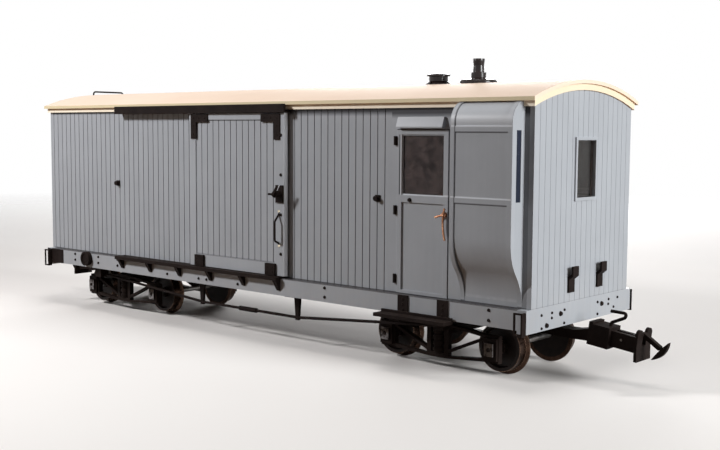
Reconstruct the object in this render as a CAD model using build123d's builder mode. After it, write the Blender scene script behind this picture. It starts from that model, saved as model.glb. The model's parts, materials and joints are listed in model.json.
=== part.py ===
from build123d import *
import math
import os

# Model narrow gauge bogie brake van for 45 mm track, at its own size of about 1:20.
# X runs along the van towards the guard's end, Y runs across it and Z points up.
# The origin is on the floor under the wheel flanges, at the middle of the van.
# The near side is at minus Y. All sizes are in millimetres.

# Body
BODY_LENGTH = 384.8
BODY_WIDTH = 91.4
WALL = 2.4
DECK_Z = 38.1
FLOOR_THICK = 2.5
PARTITION_THICK = 2.0
PARTITION_TO_DOOR = 25.7
FIT = 0.3

# Vertical boards, with a V groove at each joint
BOARD = 4.9
END_BOARD = 4.82
DOOR_BOARD = 4.97
GROOVE_WIDTH = 0.5
GROOVE_DEPTH = 0.35

# Roof
ROOF_RISE = 8.0
ROOF_BASE_THICK = 3.1
ROOF_BASE_SIDE = 1.7
ROOF_BASE_END = 0.9
ROOF_COVER_THICK = 1.7
ROOF_COVER_SIDE = 3.7
ROOF_COVER_END = 2.0
ROOF_SINK = 3.0

# Chimney over the guard's stove
CHIMNEY_FROM_END = 62.8
CHIMNEY_BASE_RADIUS = 9.7
CHIMNEY_DRUM_RADIUS = 3.9
CHIMNEY_PIPE_RADIUS = 3.0
CHIMNEY_BORE = 2.3
CHIMNEY_DRUM_TOP = 5.6
CHIMNEY_TOP = 12.6

# Lamp top: a capped drum on four splayed feet
LAMP_FROM_END = 88.6
LAMP_FOOT_RADIUS = 7.0
LAMP_DRUM_RADIUS = 5.1
LAMP_CAP_RADIUS = 6.3
LAMP_FOOT_GAP = 1.6
LAMP_FOOT_HEIGHT = 1.3
LAMP_DRUM_TOP = 4.1
LAMP_TOP = 5.9

# Wire handle across the roof at the load end
ROOF_WIRE_FROM_END = 2.4
ROOF_WIRE_HALF = 12.4
ROOF_WIRE_RISE = 2.3
ROOF_WIRE_RADIUS = 0.55
ROOF_WIRE_BEND = 1.6

# Underframe
SOLEBAR_HEIGHT = 9.5
SOLEBAR_THICK = 5.7
SOLEBAR_OUT = 4.0
HEADSTOCK_HEIGHT = 11.0
HEADSTOCK_THICK = 5.0
BOLSTER_LENGTH = 12.0
BOLSTER_END_HEIGHT = 4.4
BEARER_HEIGHT = 3.6
BEARER_WIDTH = 4.0
BEARER_X = 40.0
LONG_BEARER_Y = 11.0

# Vacuum cylinder, a bowl with a flange hung under the floor
TANK_X = -56.2
TANK_Y = -14.5
TANK_RADIUS = 15.4
TANK_FLANGE_OUT = 1.3
TANK_FLANGE_THICK = 1.2
TANK_FLANGE_Z = 26.8
TANK_DEPTH = 15.5
TANK_NECK_RADIUS = 7.0
TANK_LUG = 3.0
# shares of the radius and of the depth where the foot ends, the bowl bends and its side starts
TANK_BOWL = (0.55, 0.74, 0.87)
TANK_BOWL_UP = (0.155, 0.45)

# Truss: queen posts, bent rod, turnbuckle and end lugs under each solebar
TRUSS_Y = 41.5
TRUSS_RADIUS = 0.8
TRUSS_LOW_Z = 16.1
TRUSS_PAST_BOGIE = 10.0
TRUSS_END_Z = 24.0
TRUSS_BEND = 4.0
TURNBUCKLE_LENGTH = 14.0
TURNBUCKLE_RADIUS = 1.35
QUEEN_FLANGE_LENGTH = 12.0
QUEEN_FLANGE_THICK = 1.0
QUEEN_STEM_TOP = 4.4
QUEEN_STEM_FOOT = 2.4
QUEEN_FOOT_DROP = 1.4
LUG_LENGTH = 6.0
LUG_DROP = 1.8
LUG_INSET = 2.0

# Footboards under the guard's doors, on two straps each
FOOTBOARD_PAST = (5.2, 7.0)
FOOTBOARD_OUT = 12.3
FOOTBOARD_Z = 27.2
FOOTBOARD_THICK = 1.7
FOOTBOARD_LIP = 1.3
STRAP_INSET = (12.7, 6.5)
STRAP_WIDTH = 6.3
STRAP_THICK = 0.8

# Open loops at the ends of the headstocks
LOOP_FROM_END = 2.7
LOOP_WIDTH = 4.8
LOOP_DEPTH = 3.0
LOOP_WALL = 0.8
LOOP_DROP = 0.9

# Plate and round boss on each solebar at the load end
END_PLATE_LENGTH = 18.4
END_PLATE_THICK = 0.4
BOSS_FROM_END = 47.1
BOSS_DROP = 3.8
BOSS_RADIUS = 4.6
BOSS_THICK = 3.0
BOSS_DISH_RADIUS = 3.4
BOSS_DISH_DEPTH = 0.6

# Goods doors, which slide along the outside of the walls
GOODS_DOOR_X = -2.0
GOODS_DOOR_WIDTH = 79.0
GOODS_DOOR_THICK = 2.7
GOODS_DOOR_GAP = 1.3
GOODS_DOOR_RELIEF = 0.6
STILE_LEFT = 5.5
STILE_RIGHT = 7.0
TOP_RAIL = 3.7
BOTTOM_RAIL = 7.0
DOORWAY_MARGIN = 4.5
DOORWAY_DROP = 7.7
DOOR_TRAVEL = 69.0
DOOR_RAIL_THICK = 1.0
DOOR_RAIL_OUT = 8.0
DOOR_RAIL_LIP = 1.0
DOOR_RAIL_PAST = 0.5
DOOR_RAIL_SHORT = 2.6
DOOR_HOOD_FRONT = 1.5
DOOR_HOOD_OUT = 6.0
DOOR_HOOD_WEB = 0.7
DOOR_HOOD_HEIGHT = 4.6
DOOR_HOOD_DROP = 1.5
DOOR_HOOD_PAST = (1.5, 1.4)
GUSSET_COUNT = 6
GUSSET_THICK = 2.4
GUSSET_DROP = 6.7
GUSSET_TOE = 0.6
GUSSET_INSET = (2.3, 0.3)

# Irons on the goods doors: corner angles, shoes, a latch and a bowed pull
IRON_PLATE = 0.6
CORNER_ARM_X = 14.8
CORNER_ARM_Z = 14.2
CORNER_ARM_WIDTH = 4.5
CORNER_INSET = (2.0, 3.0)
SHOE_WIDTH = 7.6
SHOE_HEIGHT = 6.5
SHOE_THICK = 1.4
SHOE_INSET = (9.2, 10.1)
LATCH_INSET = 3.2
LATCH_UP = 45.0
LATCH_PLATE = (5.5, 9.6, 0.8)
LATCH_BOSS_RADIUS = 1.9
LATCH_BOSS_THICK = 3.6
LATCH_LEVER = (1.1, 6.4, 1.1)
LATCH_LEVER_TILT = 33.0
PULL_INSET = 4.0
PULL_UP = (19.2, 35.4)
PULL_OUT = 3.2
PULL_ROOT = 0.8
PULL_RADIUS = 0.55
PULL_BEND = 1.2

# Catches on the walls that hold an open door
CATCH_UP = 46.8
CATCH_PLATE = (3.2, 3.4, 0.6)
CATCH_PEG_RADIUS = 0.8
CATCH_PEG_LENGTH = 2.6
CATCH_HEAD_RADIUS = 1.3
CATCH_PAST_DOOR = 6.0
CATCH_TO_GUARD_DOOR = 12.8

# Guard's doors, hinged at the side next to the load space
GUARD_DOOR_WIDTH = 31.3
GUARD_DOOR_HEIGHT = 81.0
GUARD_DOOR_TO_EAVES = 11.7
GUARD_DOOR_PROUD = 0.5
GUARD_DOOR_RELIEF = 0.9
GUARD_DOOR_MARGIN = 0.4
GUARD_STILE = 2.6
GUARD_BOTTOM_RAIL = 1.6
GUARD_MIDDLE_RAIL = 4.1
GUARD_BEAD = 0.55
GUARD_BEAD_DEPTH = 0.6
GUARD_WINDOW_HEIGHT = 28.8
GUARD_WINDOW_DROP = 2.7
GLASS = 0.8
HINGE_ACROSS = 1.0
HINGE_OUT = 0.9
HINGE_RADIUS = 0.8
HINGE_HEIGHT = 4.5
HINGE_EDGE = (6.9, 5.3)
HINGE_LEAF = 1.1
LEVER_INSET = 1.4
LEVER_DROP = 9.0
LEVER_BOSS_RADIUS = 1.3
LEVER_OUT = 1.6
LEVER_RADIUS = 0.55
LEVER_TOP = (0.7, 3.15)
LEVER_BOW = (-0.2, -4.6)
LEVER_FOOT = (1.1, -12.4)
LEVER_ARM = (-4.95, -1.4)
LOUVRE_GAP = 1.0
LOUVRE_HEIGHT = 5.4
LOUVRE_OUT = 3.0
LOUVRE_FRONT = 0.6
LOUVRE_TOP_OUT = 1.2
LOUVRE_INSET = (0.85, 2.15)

# Duckets, the side lookouts, with raised borders and a slit window at each end
DUCKET_FROM_END = 5.1
DUCKET_TO_DOOR = 8.0
DUCKET_LENGTH = 34.3
DUCKET_OUT = 10.0
DUCKET_WALL = 1.2
DUCKET_RISE = 2.1
DUCKET_LIFT = 0.5
DUCKET_OGEE = 29.5
DUCKET_FOOT_SLOPE = 2.4
DUCKET_BORDER = 2.5
DUCKET_RELIEF = 0.4
DUCKET_RAIL = 2.7
DUCKET_RAIL_DROP = (47.4, 14.4)
SLIT_OUT = (2.8, 6.6)
SLIT_DROP = (45.9, 13.4)
LOOKOUT_MARGIN = 3.0
LOOKOUT_SILL = 4.5
LOOKOUT_HEAD = 1.0

# End window, with a raised frame
END_WINDOW_WIDTH = 17.4
END_WINDOW_HEIGHT = 27.4
END_WINDOW_UP = 63.2
END_WINDOW_Y = 0.4
END_WINDOW_FRAME = 1.5
END_WINDOW_PROUD = 0.8

# Lamp irons on both ends, stepped out from the wall to take a lamp
IRON_WIDTH = 5.2
IRON_THICK = 1.0
IRON_STEP = 2.2
IRON_FOOT_UP = 4.6
IRON_HEIGHT = 12.6
IRON_STEP_AT = (6.2, 8.0)
IRON_Y = (-11.6, 15.8)

# Running gear
BOGIE_FROM_END = 62.4
WHEELBASE = 65.0
TREAD_RADIUS = 12.2
FLANGE_RADIUS = 14.0
FLANGE_THICK = 1.2
WHEEL_WIDTH = 6.2
RIM_FACE = 2.0
RIM_BEVEL = 0.6
WHEEL_DISH = 2.2
HUB_RADIUS = 3.2
BACK_TO_BACK = 40.0
AXLE_RADIUS = 1.5
JOURNAL_CLEARANCE = 0.05
AXLE_LENGTH = 66.0
SIDE_FRAME_Y = 30.0
SIDE_FRAME_THICK = 3.0
BAR = 1.3
COLUMN_HALF = 5.4
COLUMN_POST = 1.3
ARCH_UPPER = (1.56, 3.38)
ARCH_LOWER = (1.69, 0.33, 1.69)
AXLEBOX_HALF = 4.2
AXLEBOX_WIDTH = 7.6
AXLEBOX_Z = (8.6, 19.4)
AXLEBOX_DEPTH = 1.5
AXLEBOX_LID = (5.0, 6.4, 1.2)
FRAME_FOOT_Z = 5.6
SPRING_RADIUS = 3.1
SPRING_CORE = 2.5
SPRING_TURNS = 4
BOGIE_BOLSTER_TOP = 24.0
BOGIE_BOLSTER_HEIGHT = 6.0
BOGIE_BOLSTER_HALF = 7.0
PIVOT_RADIUS = 2.0
SCREW_HEAD_RADIUS = 3.6
SCREW_HEAD_THICK = 1.4
SCREW_END_GAP = 1.0

# Couplers: spring box, drawbar, forked buffer plate, chopper hook and wire
COUPLER_OUT = 10.6
COUPLER_Z = 22.3
COUPLER_DROOP = 7.0
SPRING_BOX_BACK = -4.0
SPRING_BOX_LENGTH = 11.0
SPRING_BOX_HEIGHT = 10.3
SPRING_BOX_WIDTH = 11.0
BOX_STRIP = (2.2, 0.9)
DRAWBAR_LENGTH = 14.0
DRAWBAR_HEIGHT = 7.6
DRAWBAR_WIDTH = 6.8
DRAWBAR_SLOT = 2.0
PLATE_THICK = 1.5
PLATE_HALF = 7.15
PLATE_FOOT = -7.0
PLATE_HORN_TOP = 8.0
PLATE_SLANT = 0.8
PLATE_SLOT = 3.8
HOOK_THICK = 2.4
HOOK_BAR = 2.1
HOOK_PIN_RADIUS = 0.9
HOOK_PIN_UP = 5.4
HOOK_NECK = (30.4, 1.0)
HOOK_TIP_UP = (34.8, 4.6)
HOOK_TIP_DOWN = (27.5, -5.4)
HOOK_BULGE = (33.0, -1.6)
HOOK_HOLLOW = (30.8, -0.2)
COUPLER_WIRE_RADIUS = 0.8
COUPLER_WIRE_BEND = 1.1
COUPLER_WIRE_AT = (4.7, 11.2, 12.2, 3.8)
COUPLER_WIRE_UP = (1.6, 5.4, 7.8, 7.1)
ARM_WIDTH = 8.0
ARM_HEIGHT = 3.0
ARM_REACH = (-4.0, 2.0)

# Sizes worked out from the ones above
HALF_LENGTH = BODY_LENGTH / 2
HALF_WIDTH = BODY_WIDTH / 2
INNER_HALF_LENGTH = HALF_LENGTH - WALL
WALL_HEIGHT = GUARD_DOOR_HEIGHT + GUARD_DOOR_TO_EAVES
ROOF_RADIUS = (HALF_WIDTH ** 2 + ROOF_RISE ** 2) / (2 * ROOF_RISE)
ROOF_CENTRE_Z = DECK_Z + WALL_HEIGHT + ROOF_RISE - ROOF_RADIUS
ROOF_OUTER_RADIUS = ROOF_RADIUS + ROOF_BASE_THICK + ROOF_COVER_THICK
ROOF_TOP_Z = ROOF_CENTRE_Z + ROOF_OUTER_RADIUS
FLOOR_Z = DECK_Z - FLOOR_THICK
SOLEBAR_FACE = HALF_WIDTH + SOLEBAR_OUT
SOLEBAR_INNER = SOLEBAR_FACE - SOLEBAR_THICK
SOLEBAR_Z = DECK_Z - SOLEBAR_HEIGHT
HEADSTOCK_INNER = HALF_LENGTH - HEADSTOCK_THICK
HEADSTOCK_Z = DECK_Z - HEADSTOCK_HEIGHT
BEARER_Z = FLOOR_Z - BEARER_HEIGHT
BOGIE_X = HALF_LENGTH - BOGIE_FROM_END
COUPLER_X = HALF_LENGTH + COUPLER_OUT
AXLE_Z = FLANGE_RADIUS
HALF_BASE = WHEELBASE / 2
RAIL_TOP_Z = DECK_Z + DOOR_RAIL_THICK
GOODS_DOOR_Z = RAIL_TOP_Z + FIT
EAVES_Z = DECK_Z + WALL_HEIGHT - DOOR_HOOD_DROP
HOOD_WEB_Z = EAVES_Z - DOOR_HOOD_WEB
GOODS_DOOR_TOP = HOOD_WEB_Z - FIT
GOODS_DOOR_BACK = HALF_WIDTH + GOODS_DOOR_GAP
GOODS_DOOR_FACE = GOODS_DOOR_BACK + GOODS_DOOR_THICK
GOODS_DOOR_LEFT = GOODS_DOOR_X - GOODS_DOOR_WIDTH / 2
GOODS_DOOR_RIGHT = GOODS_DOOR_X + GOODS_DOOR_WIDTH / 2
DUCKET_X = HALF_LENGTH - DUCKET_FROM_END - DUCKET_LENGTH
DUCKET_TOP_Z = DECK_Z + WALL_HEIGHT + DUCKET_RISE
DUCKET_FOOT_Z = DECK_Z + DUCKET_LIFT
GUARD_DOOR_X = DUCKET_X - DUCKET_TO_DOOR - GUARD_DOOR_WIDTH
GUARD_DOOR_Z = DECK_Z + FIT
GUARD_DOOR_TOP = GUARD_DOOR_Z + GUARD_DOOR_HEIGHT
GUARD_DOOR_BACK = HALF_WIDTH - WALL
GUARD_DOOR_FACE = HALF_WIDTH + GUARD_DOOR_PROUD
HINGE_X = GUARD_DOOR_X - HINGE_ACROSS
PARTITION_X = GUARD_DOOR_X - PARTITION_TO_DOOR
GUARD_X = (GUARD_DOOR_X, GUARD_DOOR_X + GUARD_DOOR_WIDTH)
WINDOW_X = (GUARD_X[0] + GUARD_STILE + GUARD_BEAD, GUARD_X[1] - GUARD_STILE - GUARD_BEAD)
WINDOW_TOP = GUARD_DOOR_TOP - GUARD_WINDOW_DROP
WINDOW_Z = (WINDOW_TOP - GUARD_WINDOW_HEIGHT, WINDOW_TOP)
GROOVE = ((-GROOVE_WIDTH / 2, 0), (GROOVE_WIDTH / 2, 0), (0, GROOVE_DEPTH))

os.makedirs("parts", exist_ok=True)


def save(piece, name):
    """Label a finished piece and write it to its own file."""
    piece.part.label = name
    export_step(piece.part, f"parts/{name}.step")


def on_both_sides(near):
    """The near side's solids together with their mirror images on the far side."""
    with BuildPart() as pair:
        add(near.part)
        mirror(about=Plane.XZ)
    return pair


def on_far_side(near):
    """The mirror image of a near side piece."""
    with BuildPart() as other:
        add(near.part)
        mirror(about=Plane.XZ, mode=Mode.REPLACE)
    return other


def at_both_ends(right):
    """The right end's solids together with their mirror images at the left end."""
    with BuildPart() as pair:
        add(right.part)
        mirror(about=Plane.YZ)
    return pair


def block(x_range, y_range, z_range, mode=Mode.ADD):
    """A plain block between three pairs of limits."""
    sizes = [high - low for low, high in (x_range, y_range, z_range)]
    middle = [(low + high) / 2 for low, high in (x_range, y_range, z_range)]
    with Locations(tuple(middle)):
        Box(*sizes, mode=mode)


def about(middle, size):
    """The limits of a size about its middle."""
    return middle - size / 2, middle + size / 2


def joints_between(low, high, board):
    """Where the board joints fall between two limits, half a board off the middle."""
    first = math.ceil(low / board - 0.5)
    last = math.floor(high / board - 0.5)
    return [(i + 0.5) * board for i in range(first, last + 1)]


def wire(path, radius):
    """Round wire along a path."""
    with BuildSketch(Plane(origin=path @ 0, z_dir=path % 0)) as section:
        Circle(radius)
    sweep(section.sketch, path=path)


def arched_plate(inner_radius, thickness, half_width, half_length):
    """A roof layer: a band of a cylinder that lies along the van."""
    with BuildPart() as plate:
        with BuildSketch(Plane.YZ.offset(-half_length)):
            with Locations((0, ROOF_CENTRE_Z)):
                Circle(inner_radius + thickness)
                Circle(inner_radius, mode=Mode.SUBTRACT)
            with Locations((0, ROOF_CENTRE_Z + inner_radius)):
                Rectangle(2 * half_width, inner_radius, mode=Mode.INTERSECT)
        extrude(amount=2 * half_length)
    return plate


def cut_to_roof():
    """Trim what stands on the roof to the roof's curve."""
    with Locations(Location((0, 0, ROOF_CENTRE_Z), (0, 90, 0))):
        Cylinder(ROOF_OUTER_RADIUS, 2 * BODY_LENGTH, mode=Mode.SUBTRACT)


# Floor, solebars and headstocks
with BuildPart() as floor_plate:
    block((-HEADSTOCK_INNER, HEADSTOCK_INNER), (-SOLEBAR_INNER, SOLEBAR_INNER), (FLOOR_Z, DECK_Z))
save(floor_plate, "floor")

with BuildPart() as solebar:
    block((-HEADSTOCK_INNER, HEADSTOCK_INNER), (-SOLEBAR_FACE, -SOLEBAR_INNER), (SOLEBAR_Z, DECK_Z))
save(on_both_sides(solebar), "solebars")

with BuildPart() as headstock:
    block((HEADSTOCK_INNER, HALF_LENGTH), (-SOLEBAR_FACE, SOLEBAR_FACE), (HEADSTOCK_Z, DECK_Z))
save(at_both_ends(headstock), "headstocks")

# Underframe members: a tapered bolster over each bogie, joined by bearers
PIVOT_SEAT_Z = BOGIE_BOLSTER_TOP + FIT
with BuildPart() as members:
    for end in (-1, 1):
        with BuildSketch(Plane.YZ.offset(end * BOGIE_X - BOLSTER_LENGTH / 2)):
            with BuildLine():
                Polyline(
                    (-SOLEBAR_INNER, FLOOR_Z),
                    (-SOLEBAR_INNER, FLOOR_Z - BOLSTER_END_HEIGHT),
                    (-BOLSTER_LENGTH, PIVOT_SEAT_Z),
                    (BOLSTER_LENGTH, PIVOT_SEAT_Z),
                    (SOLEBAR_INNER, FLOOR_Z - BOLSTER_END_HEIGHT),
                    (SOLEBAR_INNER, FLOOR_Z),
                    close=True,
                )
            make_face()
        extrude(amount=BOLSTER_LENGTH)
    for x in (-BEARER_X, BEARER_X):
        block(about(x, BEARER_WIDTH), (-SOLEBAR_INNER, SOLEBAR_INNER), (BEARER_Z, FLOOR_Z))
    for y in (-LONG_BEARER_Y, LONG_BEARER_Y):
        block((-BOGIE_X, BOGIE_X), about(y, BEARER_WIDTH), (BEARER_Z, FLOOR_Z))
    with Locations((-BOGIE_X, 0, 0), (BOGIE_X, 0, 0)):
        Cylinder(PIVOT_RADIUS, FLOOR_Z - SCREW_END_GAP, align=(Align.CENTER, Align.CENTER, Align.MIN),
                 mode=Mode.SUBTRACT)
save(members, "underframe_members")

# Pivot screws: one through each bogie's bolster into the body's
SCREW_HEAD_Z = BOGIE_BOLSTER_TOP - BOGIE_BOLSTER_HEIGHT - FIT
with BuildPart() as pivot_screw:
    with BuildSketch(Plane.XZ):
        with BuildLine():
            Polyline(
                (0, SCREW_HEAD_Z - SCREW_HEAD_THICK),
                (SCREW_HEAD_RADIUS - SCREW_HEAD_THICK, SCREW_HEAD_Z - SCREW_HEAD_THICK),
                (SCREW_HEAD_RADIUS, SCREW_HEAD_Z),
                (PIVOT_RADIUS, SCREW_HEAD_Z),
                (PIVOT_RADIUS, FLOOR_Z - SCREW_END_GAP),
                (0, FLOOR_Z - SCREW_END_GAP),
                close=True,
            )
        make_face()
    revolve(axis=Axis.Z)
with BuildPart() as pivot_screws:
    with Locations((-BOGIE_X, 0, 0), (BOGIE_X, 0, 0)):
        add(pivot_screw.part)
save(pivot_screws, "pivot_screws")

# Truss frames
truss_end_x = BOGIE_X + TRUSS_PAST_BOGIE
with BuildPart() as truss:
    with BuildLine(Plane.XZ.offset(TRUSS_Y)):
        rod_path = FilletPolyline(
            (-truss_end_x, TRUSS_END_Z),
            (-BEARER_X, TRUSS_LOW_Z),
            (BEARER_X, TRUSS_LOW_Z),
            (truss_end_x, TRUSS_END_Z),
            radius=TRUSS_BEND,
        )
    wire(rod_path, TRUSS_RADIUS)
    with Locations(Location((0, -TRUSS_Y, TRUSS_LOW_Z), (0, 90, 0))):
        Cylinder(TURNBUCKLE_RADIUS, TURNBUCKLE_LENGTH)
    lug_y = (-SOLEBAR_INNER - LUG_INSET, -TRUSS_Y + 2 * TRUSS_RADIUS)
    for end in (-1, 1):
        post_x = end * BEARER_X
        block(about(post_x, QUEEN_FLANGE_LENGTH), lug_y, (SOLEBAR_Z - QUEEN_FLANGE_THICK, SOLEBAR_Z))
        with BuildSketch(Plane.XZ.offset(TRUSS_Y - TRUSS_RADIUS)):
            with BuildLine():
                Polyline(
                    (post_x - QUEEN_STEM_TOP / 2, SOLEBAR_Z),
                    (post_x + QUEEN_STEM_TOP / 2, SOLEBAR_Z),
                    (post_x + QUEEN_STEM_FOOT / 2, TRUSS_LOW_Z + TRUSS_RADIUS),
                    (post_x + QUEEN_STEM_FOOT / 2, TRUSS_LOW_Z - QUEEN_FOOT_DROP),
                    (post_x - QUEEN_STEM_FOOT / 2, TRUSS_LOW_Z - QUEEN_FOOT_DROP),
                    (post_x - QUEEN_STEM_FOOT / 2, TRUSS_LOW_Z + TRUSS_RADIUS),
                    close=True,
                )
            make_face()
        extrude(amount=2 * TRUSS_RADIUS)
        block(about(end * truss_end_x, LUG_LENGTH), lug_y, (TRUSS_END_Z - LUG_DROP, SOLEBAR_Z))
save(on_both_sides(truss), "truss_frames")

# Vacuum cylinder
tank_foot = TANK_FLANGE_Z - TANK_DEPTH
flange_radius = TANK_RADIUS + TANK_FLANGE_OUT
flange_top = TANK_FLANGE_Z + TANK_FLANGE_THICK
with BuildPart() as tank:
    with BuildSketch(Plane.XZ):
        with BuildLine():
            foot = Line((0, tank_foot), (TANK_BOWL[0] * TANK_RADIUS, tank_foot))
            bowl = Line((TANK_BOWL[2] * TANK_RADIUS, tank_foot + TANK_BOWL_UP[1] * TANK_DEPTH),
                        (TANK_RADIUS, TANK_FLANGE_Z))
            bend = (TANK_BOWL[1] * TANK_RADIUS, tank_foot + TANK_BOWL_UP[0] * TANK_DEPTH)
            ThreePointArc(foot @ 1, bend, bowl @ 0)
            Polyline(
                bowl @ 1,
                (flange_radius, TANK_FLANGE_Z),
                (flange_radius, flange_top),
                (TANK_NECK_RADIUS, flange_top + TANK_FLANGE_THICK),
                (TANK_NECK_RADIUS, BEARER_Z),
                (0, BEARER_Z),
                foot @ 0,
            )
        make_face()
    revolve(axis=Axis.Z)
    block((TANK_RADIUS, flange_radius + TANK_LUG / 2), about(0, TANK_LUG), (TANK_FLANGE_Z, flange_top))
with BuildPart() as placed_tank:
    with Locations((TANK_X, TANK_Y, 0)):
        add(tank.part)
save(placed_tank, "vacuum_cylinder")

# Footboards
board_x = (GUARD_X[0] - FOOTBOARD_PAST[0], GUARD_X[1] + FOOTBOARD_PAST[1])
board_back = -SOLEBAR_FACE - STRAP_THICK
board_front = -HALF_WIDTH - FOOTBOARD_OUT
board_top = FOOTBOARD_Z + FOOTBOARD_THICK
with BuildPart() as footboard:
    block(board_x, (board_front, board_back), (FOOTBOARD_Z, board_top))
    block(board_x, (board_back - FOOTBOARD_LIP, board_back), (board_top, board_top + FOOTBOARD_LIP))
    for x in (board_x[0] + STRAP_INSET[0], board_x[1] - STRAP_INSET[1]):
        block(about(x, STRAP_WIDTH), (board_back, -SOLEBAR_FACE), (FOOTBOARD_Z - STRAP_THICK, DECK_Z))
        block(about(x, STRAP_WIDTH), (board_front + STRAP_THICK, board_back),
              (FOOTBOARD_Z - STRAP_THICK, FOOTBOARD_Z))
save(on_both_sides(footboard), "footboards")

# Loops at the ends of the headstocks: a ring held off the face by its right hand side
loop_z = (HEADSTOCK_Z - LOOP_DROP, DECK_Z - LOOP_DROP)
loop_front = SOLEBAR_FACE + LOOP_DEPTH
with BuildPart() as side_loops:
    for x in (-HALF_LENGTH + LOOP_FROM_END, HALF_LENGTH - LOOP_FROM_END):
        with BuildSketch(Plane.XZ.offset(loop_front - LOOP_WALL)):
            with Locations((x, sum(loop_z) / 2)):
                Rectangle(LOOP_WIDTH, HEADSTOCK_HEIGHT)
                Rectangle(LOOP_WIDTH - 2 * LOOP_WALL, HEADSTOCK_HEIGHT - 2 * LOOP_WALL, mode=Mode.SUBTRACT)
        extrude(amount=LOOP_WALL)
        wall_x = x + LOOP_WIDTH / 2
        block((wall_x - LOOP_WALL, wall_x), (-loop_front, -SOLEBAR_FACE), (loop_z[0], DECK_Z - LOOP_DROP))
with BuildPart() as corner_loops:
    add(side_loops.part)
    with Locations(Location((0, 0, 0), (0, 0, 180))):
        add(side_loops.part)
    plate_half = SOLEBAR_FACE + END_PLATE_THICK
    block((-HALF_LENGTH, -HALF_LENGTH + END_PLATE_LENGTH), (-plate_half, plate_half), (0, DECK_Z),
          mode=Mode.SUBTRACT)
save(corner_loops, "corner_loops")

# Plates and bosses on the solebars at the load end
with BuildPart() as solebar_fitting:
    block((-HALF_LENGTH, -HALF_LENGTH + END_PLATE_LENGTH),
          (-SOLEBAR_FACE - END_PLATE_THICK, -SOLEBAR_FACE), (SOLEBAR_Z, DECK_Z - FIT))
    boss_x = -HALF_LENGTH + BOSS_FROM_END
    with BuildSketch(Plane.XZ.offset(SOLEBAR_FACE)):
        with Locations((boss_x, DECK_Z - BOSS_DROP)):
            Circle(BOSS_RADIUS)
    extrude(amount=BOSS_THICK)
    with BuildSketch(Plane.XZ.offset(SOLEBAR_FACE + BOSS_THICK - BOSS_DISH_DEPTH)):
        with Locations((boss_x, DECK_Z - BOSS_DROP)):
            Circle(BOSS_DISH_RADIUS)
    extrude(amount=BOSS_DISH_DEPTH, mode=Mode.SUBTRACT)
save(on_both_sides(solebar_fitting), "solebar_fittings")

# Side walls, each with its doorways, the opening behind its ducket and its boards
wall_openings = (
    # x_low, x_high, z_low, z_high
    (GOODS_DOOR_LEFT + DOORWAY_MARGIN, GOODS_DOOR_RIGHT - DOORWAY_MARGIN,
     DECK_Z, DECK_Z + WALL_HEIGHT - DOORWAY_DROP),
    (GUARD_X[0] - GUARD_DOOR_MARGIN, GUARD_X[1] + GUARD_DOOR_MARGIN,
     DECK_Z, GUARD_DOOR_TOP + GUARD_DOOR_MARGIN),
    (DUCKET_X + LOOKOUT_MARGIN, DUCKET_X + DUCKET_LENGTH - LOOKOUT_MARGIN,
     DUCKET_FOOT_Z + DUCKET_OGEE + LOOKOUT_SILL, DUCKET_TOP_Z - DUCKET_OUT - LOOKOUT_HEAD),
)
with BuildPart() as side:
    with BuildSketch(Plane.YZ.offset(-INNER_HALF_LENGTH)):
        with Locations((-HALF_WIDTH + WALL / 2, DECK_Z + WALL_HEIGHT)):
            Rectangle(WALL, 2 * WALL_HEIGHT)
        with Locations((0, ROOF_CENTRE_Z)):
            Circle(ROOF_RADIUS, mode=Mode.INTERSECT)
    extrude(amount=2 * INNER_HALF_LENGTH)
    for x_low, x_high, z_low, z_high in wall_openings:
        block((x_low, x_high), (-HALF_WIDTH - WALL, -HALF_WIDTH + 2 * WALL), (z_low, z_high),
              mode=Mode.SUBTRACT)
    with BuildSketch(Plane.XY.offset(DECK_Z)):
        for low, high in ((-INNER_HALF_LENGTH, wall_openings[0][0]),
                          (wall_openings[0][1], GUARD_X[0] - BOARD)):
            joints = joints_between(low + GROOVE_WIDTH, high - GROOVE_WIDTH, BOARD)
            with Locations(*[(x, -HALF_WIDTH) for x in joints]):
                Polygon(*GROOVE, align=None)
    extrude(amount=WALL_HEIGHT + WALL, mode=Mode.SUBTRACT)
save(side, "side_near")
save(on_far_side(side), "side_far")


def end_wall(outer_x, thickness, half_width):
    """A cross wall whose top follows the roof, from outer_x inwards."""
    with BuildPart() as wall:
        with BuildSketch(Plane.YZ.offset(outer_x)):
            with Locations((0, DECK_Z + WALL_HEIGHT)):
                Rectangle(2 * half_width, 2 * WALL_HEIGHT)
            with Locations((0, ROOF_CENTRE_Z)):
                Circle(ROOF_RADIUS, mode=Mode.INTERSECT)
        extrude(amount=-thickness if outer_x > 0 else thickness)
    return wall


def boarded_end(way):
    """An end wall with grooves between its boards, at minus or plus X."""
    joints = joints_between(-HALF_WIDTH + WALL, HALF_WIDTH - WALL, END_BOARD)
    with BuildPart() as wall:
        add(end_wall(way * HALF_LENGTH, WALL, HALF_WIDTH).part)
        with BuildSketch(Plane.XY.offset(DECK_Z)):
            with Locations(*[(way * HALF_LENGTH, y) for y in joints]):
                Polygon(*GROOVE, rotation=way * 90, align=None)
        extrude(amount=WALL_HEIGHT + ROOF_RISE, mode=Mode.SUBTRACT)
    return wall


save(boarded_end(-1), "end_left")

window_y = about(END_WINDOW_Y, END_WINDOW_WIDTH)
window_z = about(DECK_Z + END_WINDOW_UP, END_WINDOW_HEIGHT)
with BuildPart() as end_right:
    add(boarded_end(1).part)
    block((HALF_LENGTH - WALL, HALF_LENGTH + END_WINDOW_PROUD),
          (window_y[0] - END_WINDOW_FRAME, window_y[1] + END_WINDOW_FRAME),
          (window_z[0] - END_WINDOW_FRAME, window_z[1] + END_WINDOW_FRAME))
    block((HALF_LENGTH - 2 * WALL, HALF_LENGTH + WALL), window_y, window_z, mode=Mode.SUBTRACT)
save(end_right, "end_right")

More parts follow.
